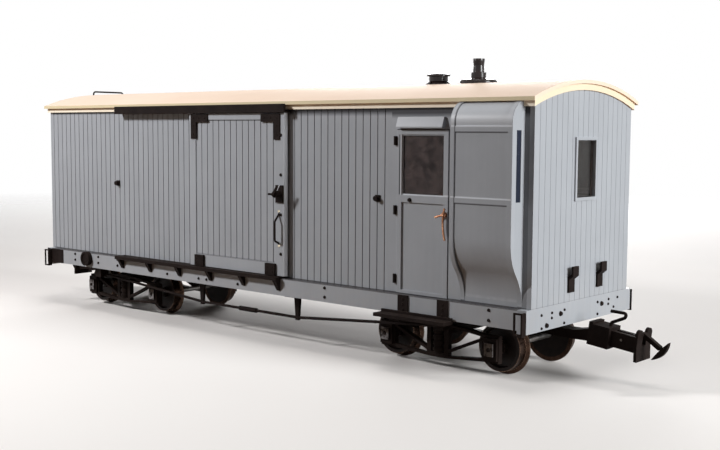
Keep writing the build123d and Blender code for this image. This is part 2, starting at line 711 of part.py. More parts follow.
with BuildPart() as end_glass:
    block(about(HALF_LENGTH - WALL / 2, GLASS), window_y, window_z)
save(end_glass, "end_window_glass")

save(end_wall(PARTITION_X, PARTITION_THICK, HALF_WIDTH - WALL), "partition")

# Lamp irons
with BuildPart() as iron:
    iron_foot = DECK_Z + IRON_FOOT_UP
    iron_front = HALF_LENGTH + IRON_THICK + IRON_STEP
    for y in IRON_Y:
        with BuildSketch(Plane.XZ.offset(-y - IRON_WIDTH / 2)):
            with BuildLine():
                Polyline(
                    (HALF_LENGTH, iron_foot),
                    (HALF_LENGTH + IRON_THICK, iron_foot),
                    (HALF_LENGTH + IRON_THICK, iron_foot + IRON_STEP_AT[0]),
                    (iron_front, iron_foot + IRON_STEP_AT[1]),
                    (iron_front, iron_foot + IRON_HEIGHT),
                    (iron_front - IRON_THICK, iron_foot + IRON_HEIGHT),
                    (iron_front - IRON_THICK, iron_foot + IRON_STEP_AT[1] + IRON_THICK),
                    (HALF_LENGTH, iron_foot + IRON_STEP_AT[0] + IRON_THICK),
                    close=True,
                )
            make_face()
        extrude(amount=IRON_WIDTH)
save(at_both_ends(iron), "lamp_irons")

# Roof: a base with deep edges, cut back over the duckets, under a thin cover
with BuildPart() as roof_base:
    add(arched_plate(ROOF_RADIUS, ROOF_BASE_THICK, HALF_WIDTH + ROOF_BASE_SIDE,
                     HALF_LENGTH + ROOF_BASE_END).part)
    for side_sign in (-1, 1):
        cut_y = sorted((side_sign * HALF_WIDTH, side_sign * (HALF_WIDTH + DUCKET_OUT)))
        block((DUCKET_X - FIT, DUCKET_X + DUCKET_LENGTH + FIT), cut_y,
              (DECK_Z + WALL_HEIGHT / 2, ROOF_TOP_Z), mode=Mode.SUBTRACT)
save(roof_base, "roof_base")
roof_cover = arched_plate(ROOF_RADIUS + ROOF_BASE_THICK, ROOF_COVER_THICK,
                          HALF_WIDTH + ROOF_COVER_SIDE, HALF_LENGTH + ROOF_COVER_END)
save(roof_cover, "roof_cover")


def on_the_roof(x, profile):
    """A turned piece that stands on the roof, from its radii and heights above the ridge."""
    with BuildPart() as turned:
        with BuildSketch(Plane.XZ):
            with BuildLine():
                points = [(x + radius, ROOF_TOP_Z + height) for radius, height in profile]
                Polyline((x, ROOF_TOP_Z - ROOF_SINK), *points, (x, points[-1][1]), close=True)
            make_face()
        revolve(axis=Axis((x, 0, 0), (0, 0, 1)))
        cut_to_roof()
    return turned


chimney_profile = (
    # radius, height
    (CHIMNEY_BASE_RADIUS, -ROOF_SINK),
    (CHIMNEY_BASE_RADIUS, 1.0),
    (CHIMNEY_BASE_RADIUS - 0.5, 1.7),
    (CHIMNEY_DRUM_RADIUS + 0.8, 2.5),
    (CHIMNEY_DRUM_RADIUS, 2.9),
    (CHIMNEY_DRUM_RADIUS, CHIMNEY_DRUM_TOP),
    (CHIMNEY_PIPE_RADIUS, CHIMNEY_DRUM_TOP + 0.2),
    (CHIMNEY_PIPE_RADIUS - 0.25, (CHIMNEY_DRUM_TOP + CHIMNEY_TOP) / 2),
    (CHIMNEY_PIPE_RADIUS + 0.1, CHIMNEY_TOP - 1.0),
    (CHIMNEY_PIPE_RADIUS, CHIMNEY_TOP),
    (CHIMNEY_BORE, CHIMNEY_TOP),
    (CHIMNEY_BORE, CHIMNEY_DRUM_TOP),
)
save(on_the_roof(HALF_LENGTH - CHIMNEY_FROM_END, chimney_profile), "chimney")

lamp_x = HALF_LENGTH - LAMP_FROM_END
lamp_profile = (
    # radius, height
    (LAMP_FOOT_RADIUS, -ROOF_SINK),
    (LAMP_FOOT_RADIUS, 0.3),
    (LAMP_DRUM_RADIUS, LAMP_FOOT_HEIGHT + 0.5),
    (LAMP_DRUM_RADIUS, LAMP_DRUM_TOP),
    (LAMP_CAP_RADIUS, LAMP_DRUM_TOP + 0.2),
    (LAMP_CAP_RADIUS, LAMP_DRUM_TOP + 1.1),
    (LAMP_CAP_RADIUS - 1.4, LAMP_TOP - 0.3),
    (LAMP_CAP_RADIUS / 3, LAMP_TOP),
)
with BuildPart() as lamp_top:
    add(on_the_roof(lamp_x, lamp_profile).part)
    gap_z = (ROOF_TOP_Z - ROOF_SINK, ROOF_TOP_Z + LAMP_FOOT_HEIGHT)
    gap_reach = (-2 * LAMP_FOOT_RADIUS, 2 * LAMP_FOOT_RADIUS)
    block((lamp_x + gap_reach[0], lamp_x + gap_reach[1]), about(0, LAMP_FOOT_GAP), gap_z, mode=Mode.SUBTRACT)
    block(about(lamp_x, LAMP_FOOT_GAP), gap_reach, gap_z, mode=Mode.SUBTRACT)
save(lamp_top, "lamp_top")

# Wire handle on the roof
with BuildPart() as roof_wire:
    wire_top = ROOF_TOP_Z + ROOF_WIRE_RISE - ROOF_WIRE_RADIUS
    with BuildLine(Plane.YZ.offset(-HALF_LENGTH + ROOF_WIRE_FROM_END)):
        wire_path = FilletPolyline(
            (-ROOF_WIRE_HALF, ROOF_TOP_Z - ROOF_SINK),
            (-ROOF_WIRE_HALF, wire_top),
            (ROOF_WIRE_HALF, wire_top),
            (ROOF_WIRE_HALF, ROOF_TOP_Z - ROOF_SINK),
            radius=ROOF_WIRE_BEND,
        )
    wire(wire_path, ROOF_WIRE_RADIUS)
    cut_to_roof()
save(roof_wire, "roof_wire")

# Hood over each goods door's top edge
hood_x = (GOODS_DOOR_LEFT - DOOR_TRAVEL - DOOR_HOOD_PAST[0], GOODS_DOOR_RIGHT + DOOR_HOOD_PAST[1])
hood_front = -HALF_WIDTH - DOOR_HOOD_OUT
with BuildPart() as hood:
    block(hood_x, (hood_front, -HALF_WIDTH), (HOOD_WEB_Z, EAVES_Z))
    block(hood_x, (hood_front, hood_front + DOOR_HOOD_FRONT), (HOOD_WEB_Z, HOOD_WEB_Z + DOOR_HOOD_HEIGHT))
save(on_both_sides(hood), "door_hoods")

# Rail under each goods door, with a lip, on six gussets
rail_x = (GOODS_DOOR_LEFT - DOOR_TRAVEL - DOOR_RAIL_PAST, GOODS_DOOR_RIGHT - DOOR_RAIL_SHORT)
rail_front = -HALF_WIDTH - DOOR_RAIL_OUT
gusset_pitch = (rail_x[1] - rail_x[0] - sum(GUSSET_INSET) - GUSSET_THICK) / (GUSSET_COUNT - 1)
with BuildPart() as rail:
    block(rail_x, (rail_front, -HALF_WIDTH), (DECK_Z, RAIL_TOP_Z))
    block(rail_x, (rail_front, rail_front + DOOR_RAIL_THICK), (DECK_Z - DOOR_RAIL_LIP, RAIL_TOP_Z))
    for i in range(GUSSET_COUNT):
        with BuildSketch(Plane.YZ.offset(rail_x[0] + GUSSET_INSET[0] + i * gusset_pitch)):
            with BuildLine():
                Polyline(
                    (-SOLEBAR_FACE, DECK_Z),
                    (-SOLEBAR_FACE, DECK_Z - GUSSET_DROP),
                    (-SOLEBAR_FACE - GUSSET_TOE, DECK_Z - GUSSET_DROP),
                    (rail_front, DECK_Z - DOOR_RAIL_LIP),
                    (rail_front, DECK_Z),
                    close=True,
                )
            make_face()
        extrude(amount=GUSSET_THICK)
save(on_both_sides(rail), "door_rails")

# Goods door: a framed leaf with a boarded panel
panel_x = (GOODS_DOOR_LEFT + STILE_LEFT, GOODS_DOOR_RIGHT - STILE_RIGHT)
panel_z = (GOODS_DOOR_Z + BOTTOM_RAIL, GOODS_DOOR_TOP - TOP_RAIL)
panel_face = -GOODS_DOOR_FACE + GOODS_DOOR_RELIEF
panel_boards = int((panel_x[1] - panel_x[0] - 1) / DOOR_BOARD)
with BuildPart() as goods_door:
    block((GOODS_DOOR_LEFT, GOODS_DOOR_RIGHT), (-GOODS_DOOR_FACE, -GOODS_DOOR_BACK),
          (GOODS_DOOR_Z, GOODS_DOOR_TOP))
    block(panel_x, (-GOODS_DOOR_FACE, panel_face), panel_z, mode=Mode.SUBTRACT)
    with BuildSketch(Plane.XY.offset(panel_z[0])):
        with Locations(*[(panel_x[0] + (i + 1) * DOOR_BOARD, panel_face) for i in range(panel_boards)]):
            Polygon(*GROOVE, align=None)
    extrude(amount=panel_z[1] - panel_z[0], mode=Mode.SUBTRACT)
save(goods_door, "goods_door_near")
save(on_far_side(goods_door), "goods_door_far")

# Irons on the goods door
latch_x = GOODS_DOOR_RIGHT - LATCH_INSET
latch_z = GOODS_DOOR_Z + LATCH_UP
pull_x = GOODS_DOOR_RIGHT - PULL_INSET
with BuildPart() as door_irons:
    corner_top = GOODS_DOOR_TOP - FIT
    with BuildSketch(Plane.XZ.offset(GOODS_DOOR_FACE)):
        for corner_x, way in ((GOODS_DOOR_LEFT + CORNER_INSET[0], 1),
                              (GOODS_DOOR_RIGHT - CORNER_INSET[1], -1)):
            with Locations((corner_x + way * CORNER_ARM_X / 2, corner_top - CORNER_ARM_WIDTH / 2)):
                Rectangle(CORNER_ARM_X, CORNER_ARM_WIDTH)
            with Locations((corner_x + way * CORNER_ARM_WIDTH / 2, corner_top - CORNER_ARM_Z / 2)):
                Rectangle(CORNER_ARM_WIDTH, CORNER_ARM_Z)
    extrude(amount=IRON_PLATE)
    for shoe_x in (GOODS_DOOR_LEFT + SHOE_INSET[0], GOODS_DOOR_RIGHT - SHOE_INSET[1]):
        block(about(shoe_x, SHOE_WIDTH), (-GOODS_DOOR_FACE - SHOE_THICK, -GOODS_DOOR_FACE),
              (GOODS_DOOR_Z, GOODS_DOOR_Z + SHOE_HEIGHT))
    plate_front = -GOODS_DOOR_FACE - LATCH_PLATE[2]
    block(about(latch_x, LATCH_PLATE[0]), (plate_front, -GOODS_DOOR_FACE), about(latch_z, LATCH_PLATE[1]))
    with BuildSketch(Plane.XZ.offset(-plate_front)):
        with Locations((latch_x, latch_z)):
            Circle(LATCH_BOSS_RADIUS)
    extrude(amount=LATCH_BOSS_THICK)
    lever_lean = math.radians(LATCH_LEVER_TILT)
    lever_reach = LATCH_LEVER[1] / 2 - LATCH_LEVER[0]
    lever_x = latch_x + lever_reach * math.sin(lever_lean)
    lever_z = latch_z + lever_reach * math.cos(lever_lean)
    with BuildSketch(Plane.XZ.offset(-plate_front + LATCH_BOSS_THICK)):
        with Locations(Location((lever_x, lever_z), -LATCH_LEVER_TILT)):
            Rectangle(LATCH_LEVER[0], LATCH_LEVER[1])
        with Locations((latch_x - LATCH_BOSS_RADIUS, latch_z)):
            Rectangle(2 * LATCH_BOSS_RADIUS, LATCH_LEVER[0])
    extrude(amount=LATCH_LEVER[2])
    pull_low, pull_high = DECK_Z + PULL_UP[0], DECK_Z + PULL_UP[1]
    with BuildLine(Plane.YZ.offset(pull_x)):
        pull_path = FilletPolyline(
            (-GOODS_DOOR_FACE + PULL_ROOT, pull_high + PULL_ROOT),
            (-GOODS_DOOR_FACE - PULL_OUT, pull_high - PULL_OUT - PULL_ROOT),
            (-GOODS_DOOR_FACE - PULL_OUT, pull_low + PULL_OUT / 2),
            (-GOODS_DOOR_FACE + PULL_ROOT, pull_low - PULL_ROOT / 2),
            radius=PULL_BEND,
        )
    wire(pull_path, PULL_RADIUS)
    block(about(pull_x, 4 * PULL_RADIUS), (-GOODS_DOOR_FACE, -GOODS_DOOR_FACE + PULL_OUT),
          (pull_low - PULL_OUT, pull_high + PULL_OUT), mode=Mode.SUBTRACT)
save(door_irons, "goods_door_irons_near")
save(on_far_side(door_irons), "goods_door_irons_far")

# Catches on the walls: a headed peg on a small plate
with BuildPart() as catch:
    for x in (GOODS_DOOR_LEFT - DOOR_TRAVEL - CATCH_PAST_DOOR, GUARD_X[0] - CATCH_TO_GUARD_DOOR):
        catch_z = DECK_Z + CATCH_UP
        block(about(x, CATCH_PLATE[0]), (-HALF_WIDTH - CATCH_PLATE[2], -HALF_WIDTH),
              about(catch_z, CATCH_PLATE[1]))
        for radius, start in ((CATCH_PEG_RADIUS, 0),
                              (CATCH_HEAD_RADIUS, CATCH_PEG_LENGTH - CATCH_PEG_RADIUS)):
            with BuildSketch(Plane.XZ.offset(HALF_WIDTH + start)):
                with Locations((x, catch_z)):
                    Circle(radius)
            extrude(amount=CATCH_PEG_LENGTH - start)
save(on_both_sides(catch), "wall_catches")

# Guard's door: a framed leaf in the wall with a beaded window over a flat panel
leaf_panel_x = (GUARD_X[0] + GUARD_STILE, GUARD_X[1] - GUARD_STILE)
with BuildPart() as guard_door:
    block(GUARD_X, (-GUARD_DOOR_FACE, -GUARD_DOOR_BACK), (GUARD_DOOR_Z, GUARD_DOOR_TOP))
    block(WINDOW_X, (-GUARD_DOOR_FACE - WALL, -GUARD_DOOR_BACK + WALL), WINDOW_Z, mode=Mode.SUBTRACT)
    block(leaf_panel_x, (-GUARD_DOOR_FACE, -GUARD_DOOR_FACE + GUARD_BEAD_DEPTH),
          (WINDOW_Z[0] - GUARD_BEAD, WINDOW_Z[1] + GUARD_BEAD), mode=Mode.SUBTRACT)
    block(leaf_panel_x, (-GUARD_DOOR_FACE, -GUARD_DOOR_FACE + GUARD_DOOR_RELIEF),
          (GUARD_DOOR_Z + GUARD_BOTTOM_RAIL, WINDOW_Z[0] - GUARD_MIDDLE_RAIL), mode=Mode.SUBTRACT)
save(guard_door, "guard_door_near")
save(on_far_side(guard_door), "guard_door_far")

with BuildPart() as guard_glass:
    block(WINDOW_X, about(-HALF_WIDTH + WALL / 2, GLASS), WINDOW_Z)
save(guard_glass, "guard_glass_near")
save(on_far_side(guard_glass), "guard_glass_far")

# Lever on the guard's door: a bowed grip and a short arm on a round boss
lever_x = GUARD_X[1] - LEVER_INSET
lever_z = WINDOW_Z[0] - LEVER_DROP
with BuildPart() as lever:
    with BuildSketch(Plane.XZ.offset(GUARD_DOOR_FACE)):
        with Locations((lever_x, lever_z)):
            Circle(LEVER_BOSS_RADIUS)
    extrude(amount=LEVER_OUT)
    lever_plane = Plane(
        origin=(lever_x, -GUARD_DOOR_FACE - LEVER_OUT, lever_z), x_dir=(1, 0, 0), z_dir=(0, -1, 0)
    )
    with BuildLine(lever_plane):
        grip_path = ThreePointArc(LEVER_TOP, LEVER_BOW, LEVER_FOOT)
    wire(grip_path, LEVER_RADIUS)
    with BuildLine(lever_plane):
        arm_path = Line((0, 0), LEVER_ARM)
    wire(arm_path, LEVER_RADIUS)
save(lever, "guard_lever_near")
save(on_far_side(lever), "guard_lever_far")

# Hinges on the wall beside each guard's door: a knuckle on a narrow leaf
lowest_hinge, highest_hinge = GUARD_DOOR_Z + HINGE_EDGE[0], GUARD_DOOR_TOP - HINGE_EDGE[1]
with BuildPart() as hinges:
    for z in (lowest_hinge, (lowest_hinge + highest_hinge) / 2, highest_hinge):
        with BuildSketch(Plane.XY.offset(z - HINGE_HEIGHT / 2)):
            with Locations((HINGE_X, -HALF_WIDTH - HINGE_OUT)):
                Circle(HINGE_RADIUS)
            with Locations((HINGE_X - HINGE_LEAF / 2, -HALF_WIDTH - HINGE_OUT / 2)):
                Rectangle(HINGE_LEAF, HINGE_OUT)
        extrude(amount=HINGE_HEIGHT)
save(on_both_sides(hinges), "guard_hinges")

# Rain strip over each guard's door
louvre_z = GUARD_DOOR_TOP + LOUVRE_GAP
with BuildPart() as louvre:
    with BuildSketch(Plane.YZ.offset(GUARD_X[0] + LOUVRE_INSET[0])):
        with BuildLine():
            Polyline(
                (-HALF_WIDTH, louvre_z),
                (-HALF_WIDTH - LOUVRE_OUT, louvre_z),
                (-HALF_WIDTH - LOUVRE_OUT, louvre_z + LOUVRE_FRONT),
                (-HALF_WIDTH - LOUVRE_TOP_OUT, louvre_z + LOUVRE_HEIGHT),
                (-HALF_WIDTH, louvre_z + LOUVRE_HEIGHT),
                close=True,
            )
        make_face()
    extrude(amount=GUARD_DOOR_WIDTH - sum(LOUVRE_INSET))
save(on_both_sides(louvre), "door_louvres")

# Duckets: a hollow lookout on each side with raised borders and a slit window at each end
ogee_angle = 2 * math.atan(DUCKET_OUT / DUCKET_OGEE)
ogee_radius = DUCKET_OGEE / (2 * math.sin(ogee_angle))


def ducket_section(x, inset):
    """The lookout's section against the wall at x, set in by a thickness."""
    out = DUCKET_OUT - inset
    foot_z = DUCKET_FOOT_Z + inset * DUCKET_FOOT_SLOPE
    bend = math.degrees(ogee_angle)
    with BuildSketch(Plane.YZ.offset(x)) as section:
        with BuildLine():
            front = Line((-HALF_WIDTH - out, DUCKET_TOP_Z - DUCKET_OUT),
                         (-HALF_WIDTH - out, foot_z + DUCKET_OGEE))
            upper = JernArc(front @ 1, (0, -1), ogee_radius * out / DUCKET_OUT, bend)
            lower = JernArc(upper @ 1, upper % 1, ogee_radius * out / DUCKET_OUT, -bend)
            back = Line(lower @ 1, (-HALF_WIDTH, DUCKET_TOP_Z - inset))
            RadiusArc(back @ 1, front @ 0, -out)
        make_face()
    return section.sketch


ducket_front = -HALF_WIDTH - DUCKET_OUT
slit_y = (-HALF_WIDTH - SLIT_OUT[1], -HALF_WIDTH - SLIT_OUT[0])
slit_z = (DUCKET_TOP_Z - SLIT_DROP[0], DUCKET_TOP_Z - SLIT_DROP[1])
ducket_slices = (
    # start, length, inset
    (0, DUCKET_BORDER, 0),
    (DUCKET_BORDER, DUCKET_LENGTH - 2 * DUCKET_BORDER, DUCKET_RELIEF),
    (DUCKET_LENGTH - DUCKET_BORDER, DUCKET_BORDER, 0),
)
with BuildPart() as ducket:
    for start, length, inset in ducket_slices:
        extrude(ducket_section(DUCKET_X + start, inset), amount=length)
    for rail_drop in DUCKET_RAIL_DROP:
        block((DUCKET_X, DUCKET_X + DUCKET_LENGTH), (ducket_front, ducket_front + DUCKET_WALL),
              about(DUCKET_TOP_Z - rail_drop + DUCKET_RAIL / 2, DUCKET_RAIL))
    extrude(ducket_section(DUCKET_X + DUCKET_WALL, DUCKET_WALL),
            amount=DUCKET_LENGTH - 2 * DUCKET_WALL, mode=Mode.SUBTRACT)
    block((DUCKET_X - DUCKET_WALL, DUCKET_X + DUCKET_LENGTH + DUCKET_WALL), slit_y, slit_z,
          mode=Mode.SUBTRACT)
save(on_both_sides(ducket), "duckets")

with BuildPart() as ducket_glass:
    for x in (DUCKET_X + DUCKET_WALL / 2, DUCKET_X + DUCKET_LENGTH - DUCKET_WALL / 2):
        block(about(x, GLASS), slit_y, slit_z)
save(on_both_sides(ducket_glass), "ducket_glass")

# Wheelsets
BOGIE_CENTRES = (("left", -BOGIE_X), ("right", BOGIE_X))
wheel_back = BACK_TO_BACK / 2
wheel_face = wheel_back + WHEEL_WIDTH
with BuildPart() as wheel_pair:
    with BuildSketch(Plane.YZ):
        with BuildLine():
            Polyline(
                (wheel_back, AXLE_RADIUS),
                (wheel_back, FLANGE_RADIUS),
                (wheel_back + FLANGE_THICK / 2, FLANGE_RADIUS),
                (wheel_back + FLANGE_THICK, TREAD_RADIUS),
                (wheel_face, TREAD_RADIUS - 0.2),
                (wheel_face, TREAD_RADIUS - RIM_FACE),
                (wheel_face - WHEEL_DISH, TREAD_RADIUS - RIM_FACE - RIM_BEVEL),
                (wheel_face - WHEEL_DISH, HUB_RADIUS),
                (wheel_face, HUB_RADIUS),
                (wheel_face, AXLE_RADIUS),
                close=True,
            )
        make_face()
    revolve(axis=Axis.Y)
    mirror(about=Plane.XZ)
with BuildPart() as axle:
    with BuildSketch(Plane.XZ.offset(-AXLE_LENGTH / 2)):
        Circle(AXLE_RADIUS)
    extrude(amount=AXLE_LENGTH)
for bogie_name, bogie_x in BOGIE_CENTRES:
    for place, axle_x in (("outer", math.copysign(BOGIE_X + HALF_BASE, bogie_x)),
                          ("inner", math.copysign(BOGIE_X - HALF_BASE, bogie_x))):
        with BuildPart() as placed_wheels:
            with Locations((axle_x, 0, AXLE_Z)):
                add(wheel_pair.part)
        save(placed_wheels, f"wheels_{bogie_name}_{place}")
        with BuildPart() as placed_axle:
            with Locations((axle_x, 0, AXLE_Z)):
                add(axle.part)
        save(placed_axle, f"axle_{bogie_name}_{place}")

# Bogie side frames: arch bars about a sprung column, moulded with both axleboxes
frame_top = BOGIE_BOLSTER_TOP - BAR / 2
box_inner = HALF_BASE - AXLEBOX_HALF
column_foot = FRAME_FOOT_Z + BAR
spring_z = (column_foot + BAR, frame_top - 2 * BAR)
with BuildPart() as side_frame:
    with BuildSketch(Plane.XZ.offset(SIDE_FRAME_Y)):
        with BuildLine():
            Polyline(
                (-HALF_BASE - AXLEBOX_HALF, AXLEBOX_Z[0] - BAR),
                (-HALF_BASE - AXLEBOX_HALF, AXLEBOX_Z[1] + BAR),
                (-box_inner, AXLEBOX_Z[1] + BAR),
                (-COLUMN_HALF, frame_top),
                (COLUMN_HALF, frame_top),
                (box_inner, AXLEBOX_Z[1] + BAR),
                (HALF_BASE + AXLEBOX_HALF, AXLEBOX_Z[1] + BAR),
                (HALF_BASE + AXLEBOX_HALF, AXLEBOX_Z[0] - BAR),
                (box_inner, AXLEBOX_Z[0] - BAR),
                (COLUMN_HALF, FRAME_FOOT_Z),
                (-COLUMN_HALF, FRAME_FOOT_Z),
                (-box_inner, AXLEBOX_Z[0] - BAR),
                close=True,
            )
        make_face()
        for way in (-1, 1):
            # the opening above the lower arch bar, then the one below it
            with BuildLine():
                Polyline(
                    (way * (COLUMN_HALF + BAR), frame_top - ARCH_UPPER[0]),
                    (way * (box_inner - BAR / 2), AXLEBOX_Z[1]),
                    (way * (COLUMN_HALF + BAR), column_foot + ARCH_UPPER[1]),
                    close=True,
                )
            make_face(mode=Mode.SUBTRACT)
            with BuildLine():
                Polyline(
                    (way * (box_inner - BAR / 2), AXLEBOX_Z[1] - ARCH_LOWER[0]),
                    (way * (box_inner - BAR / 2), AXLEBOX_Z[0] + ARCH_LOWER[1]),
                    (way * (COLUMN_HALF + BAR), column_foot),
                    (way * (COLUMN_HALF + BAR), column_foot + ARCH_LOWER[2]),
                    close=True,
                )
            make_face(mode=Mode.SUBTRACT)
        with Locations((0, sum(spring_z) / 2)):
            Rectangle(2 * (COLUMN_HALF - COLUMN_POST), spring_z[1] - spring_z[0], mode=Mode.SUBTRACT)
    extrude(amount=SIDE_FRAME_THICK)
    frame_face = -SIDE_FRAME_Y - SIDE_FRAME_THICK
    box_face = frame_face - AXLEBOX_DEPTH
    box_middle = sum(AXLEBOX_Z) / 2
    for x in (-HALF_BASE, HALF_BASE):
        block(about(x, AXLEBOX_WIDTH), (box_face, -SIDE_FRAME_Y), AXLEBOX_Z)
        block(about(x, AXLEBOX_LID[0]), (box_face - AXLEBOX_LID[2], box_face),
              about(box_middle, AXLEBOX_LID[1]))
    coil = (spring_z[1] - spring_z[0]) / SPRING_TURNS
    spring_middle = (0, -SIDE_FRAME_Y - SIDE_FRAME_THICK / 2)
    with Locations((*spring_middle, sum(spring_z) / 2)):
        Cylinder(SPRING_CORE, spring_z[1] - spring_z[0])
    with Locations(*[(*spring_middle, spring_z[0] + (i + 0.5) * coil) for i in range(SPRING_TURNS)]):
        Cylinder(SPRING_RADIUS, coil / 2)
    block((-COLUMN_HALF, COLUMN_HALF), (-SIDE_FRAME_Y, -SIDE_FRAME_Y + SPRING_RADIUS), spring_z,
          mode=Mode.SUBTRACT)
    for x in (-HALF_BASE, HALF_BASE):
        with BuildSketch(Plane.XZ.offset(SIDE_FRAME_Y)):
            with Locations((x, AXLE_Z)):
                Circle(AXLE_RADIUS + JOURNAL_CLEARANCE)
        extrude(amount=AXLE_LENGTH / 2 - SIDE_FRAME_Y + FIT, mode=Mode.SUBTRACT)

# Bogie bolster with the arm that carries the coupler
droop = math.radians(COUPLER_DROOP)
coupler_plane = Plane(
    origin=(COUPLER_X - BOGIE_X, 0, COUPLER_Z),
    x_dir=(math.cos(droop), 0, -math.sin(droop)),
    z_dir=(0, -1, 0),
)
bolster_foot = BOGIE_BOLSTER_TOP - BOGIE_BOLSTER_HEIGHT
arm_top = BOGIE_BOLSTER_TOP - BAR / 2
arm_start = BOGIE_BOLSTER_HALF - FIT
arm_foot = coupler_plane.from_local_coords((SPRING_BOX_BACK, ARM_REACH[0], 0))
arm_head = coupler_plane.from_local_coords((SPRING_BOX_BACK, ARM_REACH[1], 0))
arm_fork = arm_foot.X - ARM_WIDTH
with BuildPart() as bolster:
    block((-BOGIE_BOLSTER_HALF, BOGIE_BOLSTER_HALF), (-SIDE_FRAME_Y, SIDE_FRAME_Y),
          (bolster_foot, BOGIE_BOLSTER_TOP))
    with BuildSketch(Plane.XZ.offset(-ARM_WIDTH / 2)):
        with BuildLine():
            Polyline(
                (arm_start, arm_top),
                (arm_start, arm_top - ARM_HEIGHT),
                (arm_fork, arm_foot.Z),
                (arm_foot.X, arm_foot.Z),
                (arm_head.X, arm_head.Z),
                (arm_fork, arm_head.Z - ARM_HEIGHT / 2),
                close=True,
            )
        make_face()
    extrude(amount=ARM_WIDTH)
    with Locations((0, 0, BOGIE_BOLSTER_TOP)):
        Cylinder(PIVOT_RADIUS + JOURNAL_CLEARANCE, 4 * BOGIE_BOLSTER_HEIGHT, mode=Mode.SUBTRACT)

# Coupler: spring box, drawbar and a thin plate with two horns for the hook
box_front = SPRING_BOX_BACK + SPRING_BOX_LENGTH
plate_back = box_front + DRAWBAR_LENGTH
horn_width = PLATE_HALF - PLATE_SLOT / 2
with BuildPart() as coupler:
    with BuildSketch(coupler_plane.offset(-SPRING_BOX_WIDTH / 2)):
        with Locations(((SPRING_BOX_BACK + box_front) / 2, 0)):
            Rectangle(SPRING_BOX_LENGTH, SPRING_BOX_HEIGHT)
        with Locations((SPRING_BOX_BACK + BOX_STRIP[0] / 2, SPRING_BOX_HEIGHT / 2)):
            Rectangle(BOX_STRIP[0], 2 * BOX_STRIP[1])
    extrude(amount=SPRING_BOX_WIDTH)
    with BuildSketch(coupler_plane.offset(-DRAWBAR_WIDTH / 2)):
        with Locations(((box_front + plate_back) / 2, 0)):
            Rectangle(DRAWBAR_LENGTH + PLATE_THICK / 2, DRAWBAR_HEIGHT)
    extrude(amount=DRAWBAR_WIDTH)
    with BuildSketch(coupler_plane.offset(-PLATE_HALF)):
        with BuildLine():
            Polyline(
                (plate_back, 0),
                (plate_back + PLATE_SLANT, PLATE_FOOT),
                (plate_back + PLATE_SLANT + PLATE_THICK, PLATE_FOOT),
                (plate_back + PLATE_THICK, 0),
                (plate_back + PLATE_THICK, PLATE_HORN_TOP),
                (plate_back, PLATE_HORN_TOP),
                close=True,
            )
        make_face()
    extrude(amount=2 * PLATE_HALF)
    plate_plane = Plane(origin=coupler_plane.from_local_coords((plate_back - PLATE_THICK, 0, 0)),
                        x_dir=(0, 1, 0), z_dir=coupler_plane.x_dir)
    with BuildSketch(plate_plane):
        with Locations((0, PLATE_HORN_TOP)):
            Rectangle(4 * PLATE_HALF, horn_width)
        with Locations((-PLATE_HALF + horn_width / 2, PLATE_HORN_TOP - horn_width / 2),
                       (PLATE_HALF - horn_width / 2, PLATE_HORN_TOP - horn_width / 2)):
            Circle(horn_width / 2, mode=Mode.SUBTRACT)
        with Locations((0, PLATE_HORN_TOP / 2)):
            Rectangle(PLATE_SLOT, PLATE_HORN_TOP)
    extrude(amount=4 * PLATE_THICK, mode=Mode.SUBTRACT)
    with BuildSketch(coupler_plane.offset(-DRAWBAR_SLOT / 2)):
        with Locations(((box_front + plate_back) / 2, DRAWBAR_HEIGHT / 2)):
            Rectangle(DRAWBAR_LENGTH - DRAWBAR_SLOT, DRAWBAR_SLOT)
    extrude(amount=DRAWBAR_SLOT, mode=Mode.SUBTRACT)

# Chopper hook: a bar from the pin in the fork to a crescent head
hook_pin = (plate_back + PLATE_THICK / 2, HOOK_PIN_UP)
hook_bar = Edge.make_line(hook_pin, HOOK_NECK)
with BuildPart() as hook:
    with BuildSketch(coupler_plane.offset(-HOOK_THICK / 2)):
        with Locations(tuple(hook_bar @ 0.5)[:2]):
            SlotCenterToCenter(hook_bar.length, HOOK_BAR, rotation=hook_bar.tangent_angle_at(0.5))
        with BuildLine():
            ThreePointArc(HOOK_TIP_UP, HOOK_BULGE, HOOK_TIP_DOWN)
            ThreePointArc(HOOK_TIP_DOWN, HOOK_HOLLOW, HOOK_TIP_UP)
        make_face()
    extrude(amount=HOOK_THICK)
    with BuildSketch(coupler_plane.offset(-PLATE_SLOT / 2)):
        with Locations(hook_pin):
            Circle(HOOK_PIN_RADIUS)
    extrude(amount=PLATE_SLOT)

# Wire hook over the coupler
box_top = SPRING_BOX_HEIGHT / 2
with BuildPart() as coupler_wire:
    with BuildLine(coupler_plane):
        hook_path = FilletPolyline(
            (COUPLER_WIRE_AT[0], box_top),
            (COUPLER_WIRE_AT[0], box_top + COUPLER_WIRE_UP[0]),
            (COUPLER_WIRE_AT[1], box_top + COUPLER_WIRE_UP[1]),
            (COUPLER_WIRE_AT[2], box_top + COUPLER_WIRE_UP[2]),
            (COUPLER_WIRE_AT[3], box_top + COUPLER_WIRE_UP[3]),
            radius=COUPLER_WIRE_BEND,
        )
    wire(hook_path, COUPLER_WIRE_RADIUS)

bogie_pieces = (
    ("bogie_sides", on_both_sides(side_frame)),
    ("bogie_bolster", bolster),
    ("coupler", coupler),
    ("coupler_hook", hook),
    ("coupler_wire", coupler_wire),
)
for bogie_name, bogie_x in BOGIE_CENTRES:
    turn_angle = 0 if bogie_x > 0 else 180
    for piece_name, piece in bogie_pieces:
        with BuildPart() as placed:
            with Locations(Location((bogie_x, 0, 0), (0, 0, turn_angle))):
                add(piece.part)
        save(placed, f"{piece_name}_{bogie_name}")
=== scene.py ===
import json
import math

import bmesh
import bpy
from mathutils import Matrix, Vector


